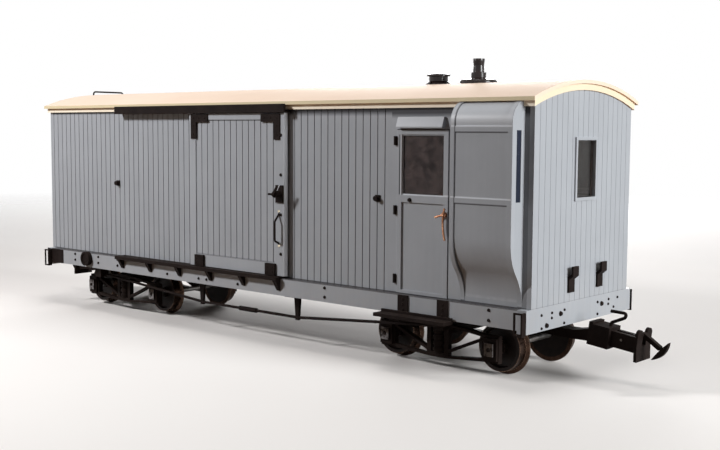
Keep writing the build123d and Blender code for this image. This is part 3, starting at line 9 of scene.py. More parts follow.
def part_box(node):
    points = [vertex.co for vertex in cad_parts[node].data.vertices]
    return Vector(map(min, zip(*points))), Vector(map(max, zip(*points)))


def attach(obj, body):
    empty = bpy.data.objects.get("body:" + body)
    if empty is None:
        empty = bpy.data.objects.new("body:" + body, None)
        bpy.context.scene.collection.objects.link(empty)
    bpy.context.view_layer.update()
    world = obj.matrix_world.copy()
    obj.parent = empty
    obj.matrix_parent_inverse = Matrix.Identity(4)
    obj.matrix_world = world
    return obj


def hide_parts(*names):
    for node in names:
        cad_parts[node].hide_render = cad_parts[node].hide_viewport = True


# Model narrow gauge bogie brake van: finishes, small fittings, light and camera
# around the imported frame. Lengths are in metres, written as millimetres times MM.

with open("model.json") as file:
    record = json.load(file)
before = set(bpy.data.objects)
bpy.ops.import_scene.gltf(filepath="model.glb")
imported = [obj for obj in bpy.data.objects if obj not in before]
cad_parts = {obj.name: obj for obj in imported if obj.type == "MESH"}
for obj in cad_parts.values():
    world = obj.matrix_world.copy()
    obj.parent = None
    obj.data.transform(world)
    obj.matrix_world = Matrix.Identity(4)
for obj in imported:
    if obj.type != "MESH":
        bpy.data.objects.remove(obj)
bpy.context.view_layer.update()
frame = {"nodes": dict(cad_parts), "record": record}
nodes = frame["nodes"]
MM = 0.001

# Camera, solved from the van's corners in the 720 by 450 photograph
IMAGE_WIDTH = 720
FOCAL_PIXELS = 1068.24
SENSOR = 36.0
CAMERA_AT = (449.7 * MM, -457.8 * MM, 118.2 * MM)
CAMERA_AZIMUTH = 41.205
CAMERA_ELEVATION = 4.969
CAMERA_ROLL = 0.33

# Widths of the boards on the sides, the ends and the goods doors
BOARD = 4.9 * MM
END_BOARD = 4.82 * MM
DOOR_BOARD = 4.97 * MM

# Places read from the frame
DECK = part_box("floor")[1].z
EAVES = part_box("roof_base")[0].z
INNER_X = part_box("end_right")[0].x
INNER_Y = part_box("side_far")[0].y
HEADSTOCK_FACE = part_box("headstocks")[1].x
SOLEBAR_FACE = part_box("solebars")[1].y
LID_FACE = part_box("bogie_sides_right")[1].y
GOODS_DOOR_LOW, GOODS_DOOR_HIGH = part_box("goods_door_near")
GUARD_DOOR_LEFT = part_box("guard_door_near")[0].x
GUARD_DOOR_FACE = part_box("guard_door_near")[0].y
DUCKET_LOW, DUCKET_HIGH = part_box("duckets")

# Panels, rails and windows that paint follows, measured from those places
STILE_LEFT = 5.5 * MM
STILE_RIGHT = 7.0 * MM
BOTTOM_RAIL = 7.0 * MM
TOP_RAIL = 3.7 * MM
DUCKET_BORDER = 2.5 * MM
DUCKET_CORNER = 0.4 * MM
PANEL_X = (GOODS_DOOR_LOW.x + STILE_LEFT, GOODS_DOOR_HIGH.x - STILE_RIGHT)
PANEL_Z = (GOODS_DOOR_LOW.z + BOTTOM_RAIL, GOODS_DOOR_HIGH.z - TOP_RAIL)
BOARDS_END = GUARD_DOOR_LEFT - 4.0 * MM
DUCKET_X = (DUCKET_LOW.x + DUCKET_BORDER, DUCKET_HIGH.x - DUCKET_BORDER)
DUCKET_LINES_Z = (DUCKET_HIGH.z - 14.4 * MM, DUCKET_HIGH.z - 47.4 * MM)
DUCKET_RAILS_Z = (DUCKET_HIGH.z - 11.6 * MM, DUCKET_HIGH.z - 44.5 * MM)
DOOR_WINDOW_Z = (DECK + 49.4 * MM, DECK + 79.0 * MM)

# Where paint and lines may be: the whole van, and the ducket's front without its end faces
WHOLE = (("Z", -1.0, 1.0),)
DUCKET_FRONT = (("X", DUCKET_LOW.x + DUCKET_CORNER, DUCKET_HIGH.x - DUCKET_CORNER),)

# The bright rubbed line on the latch plate: its middle, its lean in degrees, its half sizes, and how
# far out from the door it may be, which leaves the lever dark
RUBBED_MIDDLE = (33.6 * MM, 0.0, 87.6 * MM)
RUBBED_LEAN = 33.0
RUBBED_HALF_WIDTH = 0.28 * MM
RUBBED_HALF_LENGTH = 2.6 * MM
RUBBED_OUT = 1.0 * MM

# The dark dished face of a wheel ends here
WHEEL_DISH_RADIUS = 11.6 * MM

# What the painted finishes share: relief, the heights between which dust thins out, and colours: dirt in the
# grooves, the painted shade along lines, and pale dust
PAINT_RELIEF = 0.02 * MM
DUSTY_Z = (DECK - 20 * MM, DECK + 16 * MM)
GROOVE_DIRT = (0.035, 0.037, 0.045, 1)
PAINTED_SHADE_COLOUR = (0.020, 0.018, 0.022, 1)
PALE_DUST = (0.40, 0.33, 0.26, 1)


# Node helpers

def put(tree, kind, inputs=None, **settings):
    """A node with its settings, whose inputs are values or the sockets they come from."""
    made = tree.nodes.new(kind)
    for name, value in settings.items():
        setattr(made, name, value)
    for name, value in (inputs or {}).items():
        socket = made.inputs[name]
        if isinstance(value, bpy.types.NodeSocket):
            tree.links.new(value, socket)
        else:
            socket.default_value = value
    return made


def maths(tree, operation, *values, clamp=False):
    """A Math node's result."""
    made = put(tree, "ShaderNodeMath", dict(enumerate(values)), operation=operation, use_clamp=clamp)
    return made.outputs[0]


def blend_colour(tree, amount, low, high, way="MIX"):
    """Two colours mixed by an amount."""
    made = tree.nodes.new("ShaderNodeMix")
    made.data_type = "RGBA"
    made.blend_type = way
    sockets = {s.identifier: s for s in made.inputs}
    for identifier, value in (("Factor_Float", amount), ("A_Color", low), ("B_Color", high)):
        if isinstance(value, bpy.types.NodeSocket):
            tree.links.new(value, sockets[identifier])
        else:
            sockets[identifier].default_value = value
    return next(s for s in made.outputs if s.identifier == "Result_Color")


def spread(tree, value, low, high, new_low=0.0, new_high=1.0):
    """A value stretched from one range to another, held at its ends."""
    made = put(tree, "ShaderNodeMapRange", {0: value, 1: low, 2: high, 3: new_low, 4: new_high}, clamp=True)
    return made.outputs[0]


def noise(tree, vector, scale, detail=3.0, roughness=0.5):
    """Noise at a vector."""
    return put(tree, "ShaderNodeTexNoise", {"Vector": vector, "Scale": scale, "Detail": detail,
                                            "Roughness": roughness}).outputs["Fac"]


def new_group(name, inputs, outputs):
    """A shader node group with named sockets, and its input and output nodes."""
    tree = bpy.data.node_groups.new(name, "ShaderNodeTree")
    for label, kind, value in inputs:
        socket = tree.interface.new_socket(label, in_out="INPUT", socket_type=kind)
        if value is not None:
            socket.default_value = value
    for label, kind in outputs:
        tree.interface.new_socket(label, in_out="OUTPUT", socket_type=kind)
    return tree, tree.nodes.new("NodeGroupInput"), tree.nodes.new("NodeGroupOutput")


def use_group(tree, group, **values):
    """A group placed in a material; underscores in the names stand for spaces."""
    made = tree.nodes.new("ShaderNodeGroup")
    made.node_tree = group
    for name, value in values.items():
        socket = made.inputs[name.replace("_", " ")]
        if isinstance(value, bpy.types.NodeSocket):
            tree.links.new(value, socket)
        else:
            socket.default_value = value
    return made.outputs


def inside(tree, position, limits):
    """1 where a point is within each (axis, low, high), and 0 elsewhere."""
    parts = put(tree, "ShaderNodeSeparateXYZ", {0: position}).outputs
    mask = None
    for axis, low, high in limits:
        for operation, edge in (("GREATER_THAN", low), ("LESS_THAN", high)):
            within = maths(tree, operation, parts[axis], edge)
            mask = within if mask is None else maths(tree, "MULTIPLY", mask, within)
    return mask


# Effects that several finishes share

def build_edge_wear_and_highlight():
    """Where the corners are: paint rubs thin there, and some finishes paint highlights there too."""
    tree, given, result = new_group("edge_wear_and_highlight", [
        ("Position", "NodeSocketVector", None),
        ("Radius", "NodeSocketFloat", 0.3 * MM),
        ("Breakup", "NodeSocketFloat", 0.5),
    ], [("Edge", "NodeSocketFloat")])
    rounded = put(tree, "ShaderNodeBevel", {"Radius": given.outputs["Radius"]}, samples=4).outputs[0]
    flat = put(tree, "ShaderNodeNewGeometry").outputs["Normal"]
    match = put(tree, "ShaderNodeVectorMath", {0: rounded, 1: flat}, operation="DOT_PRODUCT").outputs["Value"]
    corner = spread(tree, match, 0.995, 0.80)
    patch = spread(tree, noise(tree, given.outputs["Position"], scale=420.0, detail=4.0), 0.35, 0.65)
    kept = maths(tree, "SUBTRACT", 1.0, maths(tree, "MULTIPLY", patch, given.outputs["Breakup"]))
    tree.links.new(maths(tree, "MULTIPLY", corner, kept, clamp=True), result.inputs["Edge"])
    return tree


def build_paint_variation():
    """Slow tone changes, upright streaks and a fine surface, as sprayed paint has."""
    tree, given, result = new_group("paint_variation", [
        ("Position", "NodeSocketVector", None),
        ("Cloud scale", "NodeSocketFloat", 40.0),
        ("Grain scale", "NodeSocketFloat", 1800.0),
        ("Streaks", "NodeSocketFloat", 0.3),
    ], [("Tone", "NodeSocketFloat"), ("Grain", "NodeSocketFloat")])
    position = given.outputs["Position"]
    cloud = noise(tree, position, given.outputs["Cloud scale"], detail=4.0, roughness=0.6)
    upright = put(tree, "ShaderNodeMapping", {"Vector": position, "Scale": (500.0, 500.0, 18.0)})
    streak = noise(tree, upright.outputs[0], scale=1.0)
    mixed = put(tree, "ShaderNodeMix", {0: given.outputs["Streaks"]}, data_type="FLOAT")
    tree.links.new(cloud, mixed.inputs[2])
    tree.links.new(streak, mixed.inputs[3])
    tree.links.new(spread(tree, mixed.outputs[0], 0.3, 0.7), result.inputs["Tone"])
    tree.links.new(noise(tree, position, given.outputs["Grain scale"], detail=2.0), result.inputs["Grain"])
    return tree


def build_board_joints():
    """The grooves between upright boards, from a distance across them."""
    tree, given, result = new_group("board_joints", [
        ("Across", "NodeSocketFloat", 0.0),
        ("Board", "NodeSocketFloat", BOARD),
        ("Start", "NodeSocketFloat", 0.0),
        ("Half width", "NodeSocketFloat", 0.3 * MM),
    ], [("Joint", "NodeSocketFloat"), ("Board tone", "NodeSocketFloat")])
    shifted = maths(tree, "SUBTRACT", given.outputs["Across"], given.outputs["Start"])
    count = maths(tree, "DIVIDE", shifted, given.outputs["Board"])
    beside = maths(tree, "MULTIPLY", maths(tree, "PINGPONG", count, 0.5), given.outputs["Board"])
    near = maths(tree, "DIVIDE", beside, given.outputs["Half width"])
    tree.links.new(spread(tree, near, 0.35, 1.0, 1.0, 0.0), result.inputs["Joint"])
    each = put(tree, "ShaderNodeTexWhiteNoise", {"W": maths(tree, "FLOOR", count)}, noise_dimensions="1D")
    tree.links.new(each.outputs["Value"], result.inputs["Board tone"])
    return tree


def build_dust():
    """Pale dust that settles low down and on what faces up."""
    tree, given, result = new_group("settled_dust", [
        ("Position", "NodeSocketVector", None),
        ("Low", "NodeSocketFloat", 0.0),
        ("High", "NodeSocketFloat", 0.05),
        ("Facing up", "NodeSocketFloat", 0.5),
    ], [("Dust", "NodeSocketFloat")])
    parts = put(tree, "ShaderNodeSeparateXYZ", {0: given.outputs["Position"]}).outputs
    low_down = put(tree, "ShaderNodeMapRange", {0: parts["Z"], 1: given.outputs["High"],
                                                2: given.outputs["Low"]}, clamp=True).outputs[0]
    facing = put(tree, "ShaderNodeSeparateXYZ", {0: put(tree, "ShaderNodeNewGeometry").outputs["Normal"]})
    upward = maths(tree, "MULTIPLY", spread(tree, facing.outputs["Z"], 0.4, 1.0), given.outputs["Facing up"])
    patch = noise(tree, given.outputs["Position"], scale=160.0, detail=5.0, roughness=0.65)
    patch = spread(tree, patch, 0.35, 0.7)
    total = maths(tree, "MULTIPLY", maths(tree, "MAXIMUM", low_down, upward), patch, clamp=True)
    tree.links.new(total, result.inputs["Dust"])
    return tree


edge_wear_and_highlight = build_edge_wear_and_highlight()
paint_variation = build_paint_variation()
board_joints = build_board_joints()
settled_dust = build_dust()


def start_material(name):
    """A new material, its shader, and the place of each point in the van's frame."""
    material = bpy.data.materials.new(name)
    material.use_nodes = True
    tree = material.node_tree
    shader = tree.nodes["Principled BSDF"]
    position = tree.nodes.new("ShaderNodeTexCoord").outputs["Object"]
    return material, tree, shader, position


def bump(tree, shader, height, distance, strength=1.0):
    """Surface relief on a shader."""
    made = put(tree, "ShaderNodeBump", {"Height": height, "Distance": distance, "Strength": strength})
    tree.links.new(made.outputs[0], shader.inputs["Normal"])


def line(axis, place, strength, full, gone, limits=WHOLE):
    """A painted line across an axis, which paints shade in the dark colour and a highlight in the pale one:
    its strength, where it is full and where gone, in millimetres.
    """
    return axis, place, strength, full * MM, gone * MM, limits


def worn_and_highlit_edges(tree, position, under, colour, radius, breakup, share):
    """A colour with the edge colour laid over its corners: worn paint, and in some finishes a painted
    highlight.
    """
    edges = use_group(tree, edge_wear_and_highlight, Position=position, Radius=radius, Breakup=breakup)["Edge"]
    return blend_colour(tree, maths(tree, "MULTIPLY", edges, share), under, colour)


def roughen(tree, shader, grain, low, high):
    """Roughness between two values, which follows the fine grain."""
    tree.links.new(spread(tree, grain, 0.2, 0.8, low, high), shader.inputs["Roughness"])


def painted(name, colour, deep, wear_and_highlight_colour, roughness, wear_and_highlight_share, dust, specular, cloud=40.0, joints=None,
            joint_dirt=0.7, groove_depth=0.1 * MM, lines=(), pale_lines=()):
    """Sprayed satin paint: tone, streaks, worn and highlit edges, dust, dirt in joints, painted shade and
    painted highlights along lines.
    """
    material, tree, shader, position = start_material(name)
    varied = use_group(tree, paint_variation, Position=position, Cloud_scale=cloud)
    colour_now = blend_colour(tree, varied["Tone"], deep, colour)
    height = maths(tree, "MULTIPLY", varied["Grain"], PAINT_RELIEF)
    parts = put(tree, "ShaderNodeSeparateXYZ", {0: position}).outputs
    if joints:
        axis, board, start, limits = joints
        seams = use_group(tree, board_joints, Across=parts[axis], Board=board, Start=start)
        boarded = inside(tree, position, limits)
        tone = maths(tree, "MULTIPLY", maths(tree, "MULTIPLY", seams["Board tone"], 0.35), boarded)
        colour_now = blend_colour(tree, tone, colour_now, deep)
        groove = maths(tree, "MULTIPLY", seams["Joint"], boarded)
        dirt = maths(tree, "MULTIPLY", groove, joint_dirt)
        colour_now = blend_colour(tree, dirt, colour_now, GROOVE_DIRT)
        height = maths(tree, "SUBTRACT", height, maths(tree, "MULTIPLY", groove, groove_depth))
    # Painted highlights in the pale colour and painted shade in the dark one, along their lines
    for found, line_colour in ((pale_lines, wear_and_highlight_colour), (lines, PAINTED_SHADE_COLOUR)):
        for axis, place, strength, full, gone, limits in found:
            beside = maths(tree, "ABSOLUTE", maths(tree, "SUBTRACT", parts[axis], place))
            share = maths(tree, "MULTIPLY", spread(tree, beside, full, gone, strength, 0.0),
                          inside(tree, position, limits))
            colour_now = blend_colour(tree, share, colour_now, line_colour)
    colour_now = worn_and_highlit_edges(tree, position, colour_now, wear_and_highlight_colour, radius=0.35 * MM, breakup=0.6,
                            share=wear_and_highlight_share)
    settled = use_group(tree, settled_dust, Position=position, Low=DUSTY_Z[0], High=DUSTY_Z[1],
                        Facing_up=0.35)["Dust"]
    colour_now = blend_colour(tree, maths(tree, "MULTIPLY", settled, dust), colour_now, PALE_DUST)
    tree.links.new(colour_now, shader.inputs["Base Color"])
    roughen(tree, shader, varied["Grain"], *roughness)
    shader.inputs["Specular IOR Level"].default_value = specular
    bump(tree, shader, height, distance=1.0)
    return material


def make_grey(name, wear_and_highlight_share=0.5, **more):
    """The body's blue grey outside, and bare brown boards inside."""
    # The edge colour is paler than worn paint: on the corners it paints highlights as well as worn paint.
    material = painted(name, (0.380, 0.397, 0.422, 1), (0.334, 0.349, 0.373, 1), (0.66, 0.68, 0.71, 1),
                       roughness=(0.32, 0.42), specular=0.22, wear_and_highlight_share=wear_and_highlight_share, dust=0.2, **more)
    tree = material.node_tree
    shader = tree.nodes["Principled BSDF"]
    outer = shader.inputs["Base Color"].links[0].from_socket
    position = tree.nodes.new("ShaderNodeTexCoord").outputs["Object"]
    slack = 0.2 * MM
    inner = inside(tree, position, (("X", -INNER_X - slack, INNER_X + slack),
                                    ("Y", -INNER_Y - slack, INNER_Y + slack),
                                    ("Z", DECK - slack, 1.0)))
    along = put(tree, "ShaderNodeMapping", {"Vector": position, "Scale": (300.0, 300.0, 25.0)}).outputs[0]
    grain = noise(tree, along, scale=1.0)
    boards = blend_colour(tree, grain, (0.070, 0.042, 0.030, 1), (0.150, 0.100, 0.075, 1))
    tree.links.new(blend_colour(tree, inner, outer, boards), shader.inputs["Base Color"])
    return material


def make_black_iron(name="black_iron", lids=False):
    """Black ironwork with pebbled paint, brown where it is handled; axlebox lids are rubbed pale."""
    material, tree, shader, position = start_material(name)
    varied = use_group(tree, paint_variation, Position=position, Cloud_scale=120.0, Grain_scale=1500.0,
                       Streaks=0.1)
    colour_now = blend_colour(tree, varied["Tone"], (0.0080, 0.0052, 0.0048, 1), (0.0170, 0.0115, 0.0100, 1))
    colour_now = worn_and_highlit_edges(tree, position, colour_now, (0.070, 0.048, 0.040, 1), radius=0.25 * MM,
                            breakup=0.5, share=0.4)
    if lids:
        reach = maths(tree, "ABSOLUTE", put(tree, "ShaderNodeSeparateXYZ", {0: position}).outputs["Y"])
        face = spread(tree, reach, LID_FACE - 0.3 * MM, LID_FACE - 0.1 * MM)
        rubbed = spread(tree, noise(tree, position, scale=500.0, detail=5.0, roughness=0.7), 0.36, 0.56)
        worn = maths(tree, "MULTIPLY", face, rubbed)
        colour_now = blend_colour(tree, worn, colour_now, (0.27, 0.26, 0.26, 1))
    settled = use_group(tree, settled_dust, Position=position, Low=0.0, High=20 * MM, Facing_up=0.5)["Dust"]
    colour_now = blend_colour(tree, maths(tree, "MULTIPLY", settled, 0.16), colour_now, (0.11, 0.08, 0.06, 1))
    tree.links.new(colour_now, shader.inputs["Base Color"])
    roughen(tree, shader, varied["Grain"], low=0.50, high=0.75)
    shader.inputs["Specular IOR Level"].default_value = 0.05
    pebbles = put(tree, "ShaderNodeTexVoronoi", {"Vector": position, "Scale": 1500.0}).outputs["Distance"]
    bump(tree, shader, pebbles, distance=0.05 * MM, strength=0.8)
    return material


def make_latch_iron():
    """Black ironwork whose latch plate is rubbed bright along a line beside the lever."""
    material = make_black_iron("black_iron_latch")
    tree = material.node_tree
    shader = tree.nodes["Principled BSDF"]
    iron = shader.inputs["Base Color"].links[0].from_socket
    position = tree.nodes.new("ShaderNodeTexCoord").outputs["Object"]
    turned = put(tree, "ShaderNodeMapping", {
        "Vector": position, "Location": RUBBED_MIDDLE, "Rotation": (0.0, math.radians(RUBBED_LEAN), 0.0),
    }, vector_type="TEXTURE").outputs[0]
    streak = inside(tree, turned, (("X", -RUBBED_HALF_WIDTH, RUBBED_HALF_WIDTH),
                                   ("Z", -RUBBED_HALF_LENGTH, RUBBED_HALF_LENGTH)))
    out = maths(tree, "ABSOLUTE", put(tree, "ShaderNodeSeparateXYZ", {0: position}).outputs["Y"])
    behind_lever = maths(tree, "LESS_THAN", out, RUBBED_OUT - GOODS_DOOR_LOW.y)
    rubbed = maths(tree, "MULTIPLY", streak, behind_lever)
    tree.links.new(blend_colour(tree, rubbed, iron, (0.62, 0.62, 0.64, 1)), shader.inputs["Base Color"])
    return material


def make_black_gloss():
    """The chimney and lamp top: smooth black enamel, thin brown at the edges."""
    material, tree, shader, position = start_material("black_enamel")
    varied = use_group(tree, paint_variation, Position=position, Cloud_scale=150.0, Grain_scale=900.0,
                       Streaks=0.0)
    colour_now = blend_colour(tree, varied["Tone"], (0.0080, 0.0046, 0.0042, 1), (0.0180, 0.0100, 0.0086, 1))
    colour_now = worn_and_highlit_edges(tree, position, colour_now, (0.075, 0.035, 0.028, 1), radius=0.3 * MM,
                            breakup=0.4, share=0.5)
    tree.links.new(colour_now, shader.inputs["Base Color"])
    roughen(tree, shader, varied["Grain"], low=0.16, high=0.30)
    shader.inputs["Specular IOR Level"].default_value = 0.30
    bump(tree, shader, varied["Grain"], distance=0.015 * MM)
    return material


def make_roof(name, colour, deep, speckle, side):
    """Roof paint over a fine woven skin, in another tone on the edges that face the sides, and painted shade
    on the faces that look down.
    """
    material, tree, shader, position = start_material(name)
    varied = use_group(tree, paint_variation, Position=position, Cloud_scale=18.0, Grain_scale=1400.0,
                       Streaks=0.1)
    colour_now = blend_colour(tree, varied["Tone"], deep, colour)
    spots = spread(tree, noise(tree, position, scale=260.0, detail=5.0, roughness=0.7), 0.62, 0.78)
    spots = maths(tree, "MULTIPLY", spots, speckle)
    colour_now = blend_colour(tree, spots, colour_now, (0.46, 0.36, 0.25, 1))
    facing = put(tree, "ShaderNodeSeparateXYZ", {0: put(tree, "ShaderNodeNewGeometry").outputs["Normal"]})
    sideways = spread(tree, maths(tree, "ABSOLUTE", facing.outputs["Y"]), 0.8, 0.95)
    colour_now = blend_colour(tree, sideways, colour_now, side)
    # Painted shade, warm, on the faces that look down
    below = spread(tree, facing.outputs["Z"], -0.4, -0.8)
    colour_now = blend_colour(tree, below, colour_now, (0.78, 0.52, 0.32, 1))
    colour_now = worn_and_highlit_edges(tree, position, colour_now, (0.93, 0.88, 0.79, 1), radius=0.3 * MM,
                            breakup=0.7, share=0.25)
    tree.links.new(colour_now, shader.inputs["Base Color"])
    roughen(tree, shader, varied["Grain"], low=0.50, high=0.68)
    weave = put(tree, "ShaderNodeTexVoronoi", {"Vector": position, "Scale": 1100.0}).outputs["Distance"]
    bump(tree, shader, weave, distance=0.03 * MM, strength=0.6)
    return material


def make_tank():
    """The vacuum cylinder's dark red-brown paint."""
    return painted("brown_underfloor", (0.020, 0.0078, 0.0052, 1), (0.0095, 0.0042, 0.0030, 1),
                   (0.07, 0.03, 0.02, 1), roughness=(0.35, 0.55), cloud=90.0, wear_and_highlight_share=0.3, dust=0.03,
                   specular=0.15)


def make_wheel(label, centre):
    """Cast wheels: a dark dished face inside a bright bronze rim and tread, with painted highlights on the
    edges towards the rim.
    """
    material, tree, shader, position = start_material(f"wheel_metal_{label}")
    centred = put(tree, "ShaderNodeMapping", {"Vector": position, "Location": (-centre[0], 0, -centre[1])})
    parts = put(tree, "ShaderNodeSeparateXYZ", {0: centred.outputs[0]}).outputs
    reach = maths(tree, "SQRT", maths(tree, "ADD", maths(tree, "MULTIPLY", parts["X"], parts["X"]),
                                      maths(tree, "MULTIPLY", parts["Z"], parts["Z"])))
    rim = spread(tree, reach, WHEEL_DISH_RADIUS, WHEEL_DISH_RADIUS + 0.2 * MM)
    varied = use_group(tree, paint_variation, Position=position, Cloud_scale=200.0, Grain_scale=1600.0,
                       Streaks=0.0)
    dish = blend_colour(tree, varied["Tone"], (0.0060, 0.0038, 0.0032, 1), (0.018, 0.011, 0.009, 1))
    bright = blend_colour(tree, varied["Tone"], (0.030, 0.017, 0.012, 1), (0.080, 0.046, 0.032, 1))
    colour_now = blend_colour(tree, rim, dish, bright)
    # Painted highlights on the edges, stronger towards the rim
    outward = spread(tree, reach, WHEEL_DISH_RADIUS - 1.0 * MM, WHEEL_DISH_RADIUS - 0.2 * MM, 0.15, 0.85)
    colour_now = worn_and_highlit_edges(tree, position, colour_now, (0.50, 0.35, 0.26, 1), radius=0.3 * MM,
                            breakup=0.3, share=outward)
    tree.links.new(colour_now, shader.inputs["Base Color"])
    tree.links.new(maths(tree, "MULTIPLY", rim, 0.9), shader.inputs["Metallic"])
    shader.inputs["Specular IOR Level"].default_value = 0.15
    smooth = spread(tree, varied["Grain"], 0.2, 0.8, 0.18, 0.34)
    duller = maths(tree, "MULTIPLY", maths(tree, "SUBTRACT", 1.0, rim), 0.2)
    tree.links.new(maths(tree, "ADD", smooth, duller), shader.inputs["Roughness"])
    bump(tree, shader, varied["Grain"], distance=0.02 * MM)
    return material


def make_metal(name, colour, deep, roughness, tarnish):
    """Bare metal with tarnish in patches and drawn lines."""
    material, tree, shader, position = start_material(name)
    varied = use_group(tree, paint_variation, Position=position, Cloud_scale=300.0, Grain_scale=2200.0,
                       Streaks=0.2)
    patch = spread(tree, noise(tree, position, scale=500.0, detail=4.0), 0.4, 0.7)
    colour_now = blend_colour(tree, varied["Tone"], deep, colour)
    colour_now = blend_colour(tree, maths(tree, "MULTIPLY", patch, tarnish), colour_now, deep, "MULTIPLY")
    tree.links.new(colour_now, shader.inputs["Base Color"])
    shader.inputs["Metallic"].default_value = 1.0
    tree.links.new(spread(tree, patch, 0.0, 1.0, *roughness), shader.inputs["Roughness"])
    bump(tree, shader, varied["Grain"], distance=0.015 * MM)
    return material


def make_glass(name, clear, smeared, through=1.0, smears=90.0):
    """Thin glazing with smears, and a darker tint where less of the light goes through."""
    material, tree, shader, position = start_material(name)
    smear = spread(tree, noise(tree, position, smears, detail=4.0), 0.4, 0.75)
    colour_now = blend_colour(tree, smear, clear, smeared)
    tree.links.new(colour_now, shader.inputs["Base Color"])
    tree.links.new(spread(tree, smear, 0.0, 1.0, 0.02, 0.10), shader.inputs["Roughness"])
    shader.inputs["Transmission Weight"].default_value = through
    shader.inputs["IOR"].default_value = 1.22
    bump(tree, shader, smear, distance=0.01 * MM, strength=0.3)
    return material


# Finishes of the CAD nodes

grey_plain = make_grey("grey_body")
# The boards stop at the guard's door. Painted shade lies along the deck line, where the wall meets the
# solebar; a painted shadow of the ducket lies beside it, and a painted shadow of the roof under the
# eaves, deeper towards the guard's end.
grey_sides = make_grey(
    "grey_body_sides", joints=("X", BOARD, BOARD / 2, (("X", -1.0, BOARDS_END),)),
    lines=[line("Z", DECK, strength=0.95, full=0.3, gone=0.6),
           line("X", DUCKET_HIGH.x + 3 * MM, strength=0.45, full=3.6, gone=4.4),
           line("Z", EAVES, strength=0.93, full=0.6, gone=1.8, limits=(("X", -1.0, GOODS_DOOR_HIGH.x),)),
           line("Z", EAVES, strength=0.93, full=1.6, gone=3.9,
                limits=(("X", GOODS_DOOR_HIGH.x, BOARDS_END),)),
           line("Z", EAVES, strength=0.93, full=2.6, gone=5.2, limits=(("X", BOARDS_END, 1.0),))])
# Painted shade along the top of the solebars, where the wall stands on them
grey_solebars = make_grey("grey_body_solebars", lines=[line("Z", DECK, strength=0.95, full=0.2, gone=0.5)])
# Dark board joints, and painted shade along the foot of the ends
grey_ends = make_grey("grey_body_ends", joints=("Y", END_BOARD, END_BOARD / 2, WHOLE), joint_dirt=0.04,
                      groove_depth=0.004 * MM, lines=[line("Z", DECK, strength=0.4, full=0.2, gone=0.5)])
# Painted shade along the top and the foot of the panel, and a painted highlight on the door's right-hand edge
grey_goods_door = make_grey(
    "grey_body_goods_door", joints=("X", DOOR_BOARD, PANEL_X[0], (("X", *PANEL_X), ("Z", *PANEL_Z))),
    lines=[line("Z", z, strength=0.55, full=0.2, gone=0.5, limits=(("X", *PANEL_X),)) for z in PANEL_Z],
    pale_lines=[line("X", GOODS_DOOR_HIGH.x, strength=1.0, full=0.08, gone=0.16)])
# Painted shade left of the window, and painted highlights on the beads of its sill and its left-hand side
grey_guard_door = make_grey(
    "grey_body_guard_door",
    lines=[line("X", GUARD_DOOR_LEFT + 1.5 * MM, strength=0.9, full=0.25, gone=0.5,
                limits=(("Z", *DOOR_WINDOW_Z),))],
    pale_lines=[line("Z", DOOR_WINDOW_Z[0] + 0.3 * MM, strength=1.0, full=0.3, gone=0.6,
                     limits=(("X", GUARD_DOOR_LEFT + 2 * MM, 1.0),)),
                line("X", GUARD_DOOR_LEFT + 2.4 * MM, strength=0.8, full=0.3, gone=0.5,
                     limits=(("Z", *DOOR_WINDOW_Z),))])
# Painted shade under the rails, down the left-hand border and at the foot; painted highlights on the rails
# and on the top
grey_duckets = make_grey(
    "grey_body_duckets", wear_and_highlight_share=0.25,
    lines=[line("Z", z, strength=0.7, full=0.2, gone=0.5, limits=(("X", *DUCKET_X),))
           for z in DUCKET_LINES_Z]
    + [line("X", DUCKET_X[0], strength=0.7, full=0.2, gone=0.45,
            limits=(("Z", DECK, DUCKET_HIGH.z - 1 * MM),)),
       line("Z", DECK, strength=0.95, full=0.7, gone=1.1)],
    pale_lines=[line("Z", z, strength=0.9, full=0.2, gone=0.5, limits=DUCKET_FRONT) for z in DUCKET_RAILS_Z]
    + [line("Z", DUCKET_HIGH.z - 6.5 * MM, strength=0.5, full=2.5, gone=6.5, limits=DUCKET_FRONT)])
roof_top = make_roof("cream_roof_cover", (0.84, 0.66, 0.52, 1), (0.79, 0.60, 0.46, 1), speckle=0.25,
                     side=(0.68, 0.57, 0.36, 1))
roof_band = make_roof("cream_roof_base", (0.80, 0.68, 0.50, 1), (0.75, 0.62, 0.44, 1), speckle=0.15,
                      side=(0.90, 0.80, 0.64, 1))
black_iron = make_black_iron()
bogie_iron = make_black_iron("black_iron_bogies", lids=True)
latch_iron = make_latch_iron()
black_enamel = make_black_gloss()
brown_tank = make_tank()
axle_steel = make_metal("axle_steel", (0.52, 0.51, 0.50, 1), (0.30, 0.28, 0.26, 1),
                        roughness=(0.28, 0.5), tarnish=0.4)
lever_copper = make_metal("brass", (0.74, 0.42, 0.26, 1), (0.24, 0.10, 0.055, 1),
                          roughness=(0.16, 0.34), tarnish=0.75)
bright_pin = make_metal("bright_pin", (0.72, 0.66, 0.52, 1), (0.48, 0.40, 0.28, 1),
                        roughness=(0.25, 0.4), tarnish=0.3)
dull_pin = make_metal("dull_pin", (0.14, 0.12, 0.11, 1), (0.07, 0.06, 0.05, 1),
                      roughness=(0.35, 0.5), tarnish=0.3)
glazing = make_glass("window_glass", (0.86, 0.80, 0.76, 1), (0.62, 0.52, 0.47, 1))
# The slits' glass is a dark tint that lets little light through: painted shade in place of the dark inside of
# the duckets
slit_glazing = make_glass("window_glass_slits", (0.030, 0.036, 0.056, 1), (0.020, 0.025, 0.040, 1),
                          through=0.2)
door_glazing = make_glass("window_glass_doors", (0.30, 0.235, 0.225, 1), (0.060, 0.045, 0.042, 1),
                          through=0.8, smears=300.0)


def finish(node, material):
    """Gives a CAD node its finish."""
    mesh = nodes[node].data
    mesh.materials.clear()
    mesh.materials.append(material)


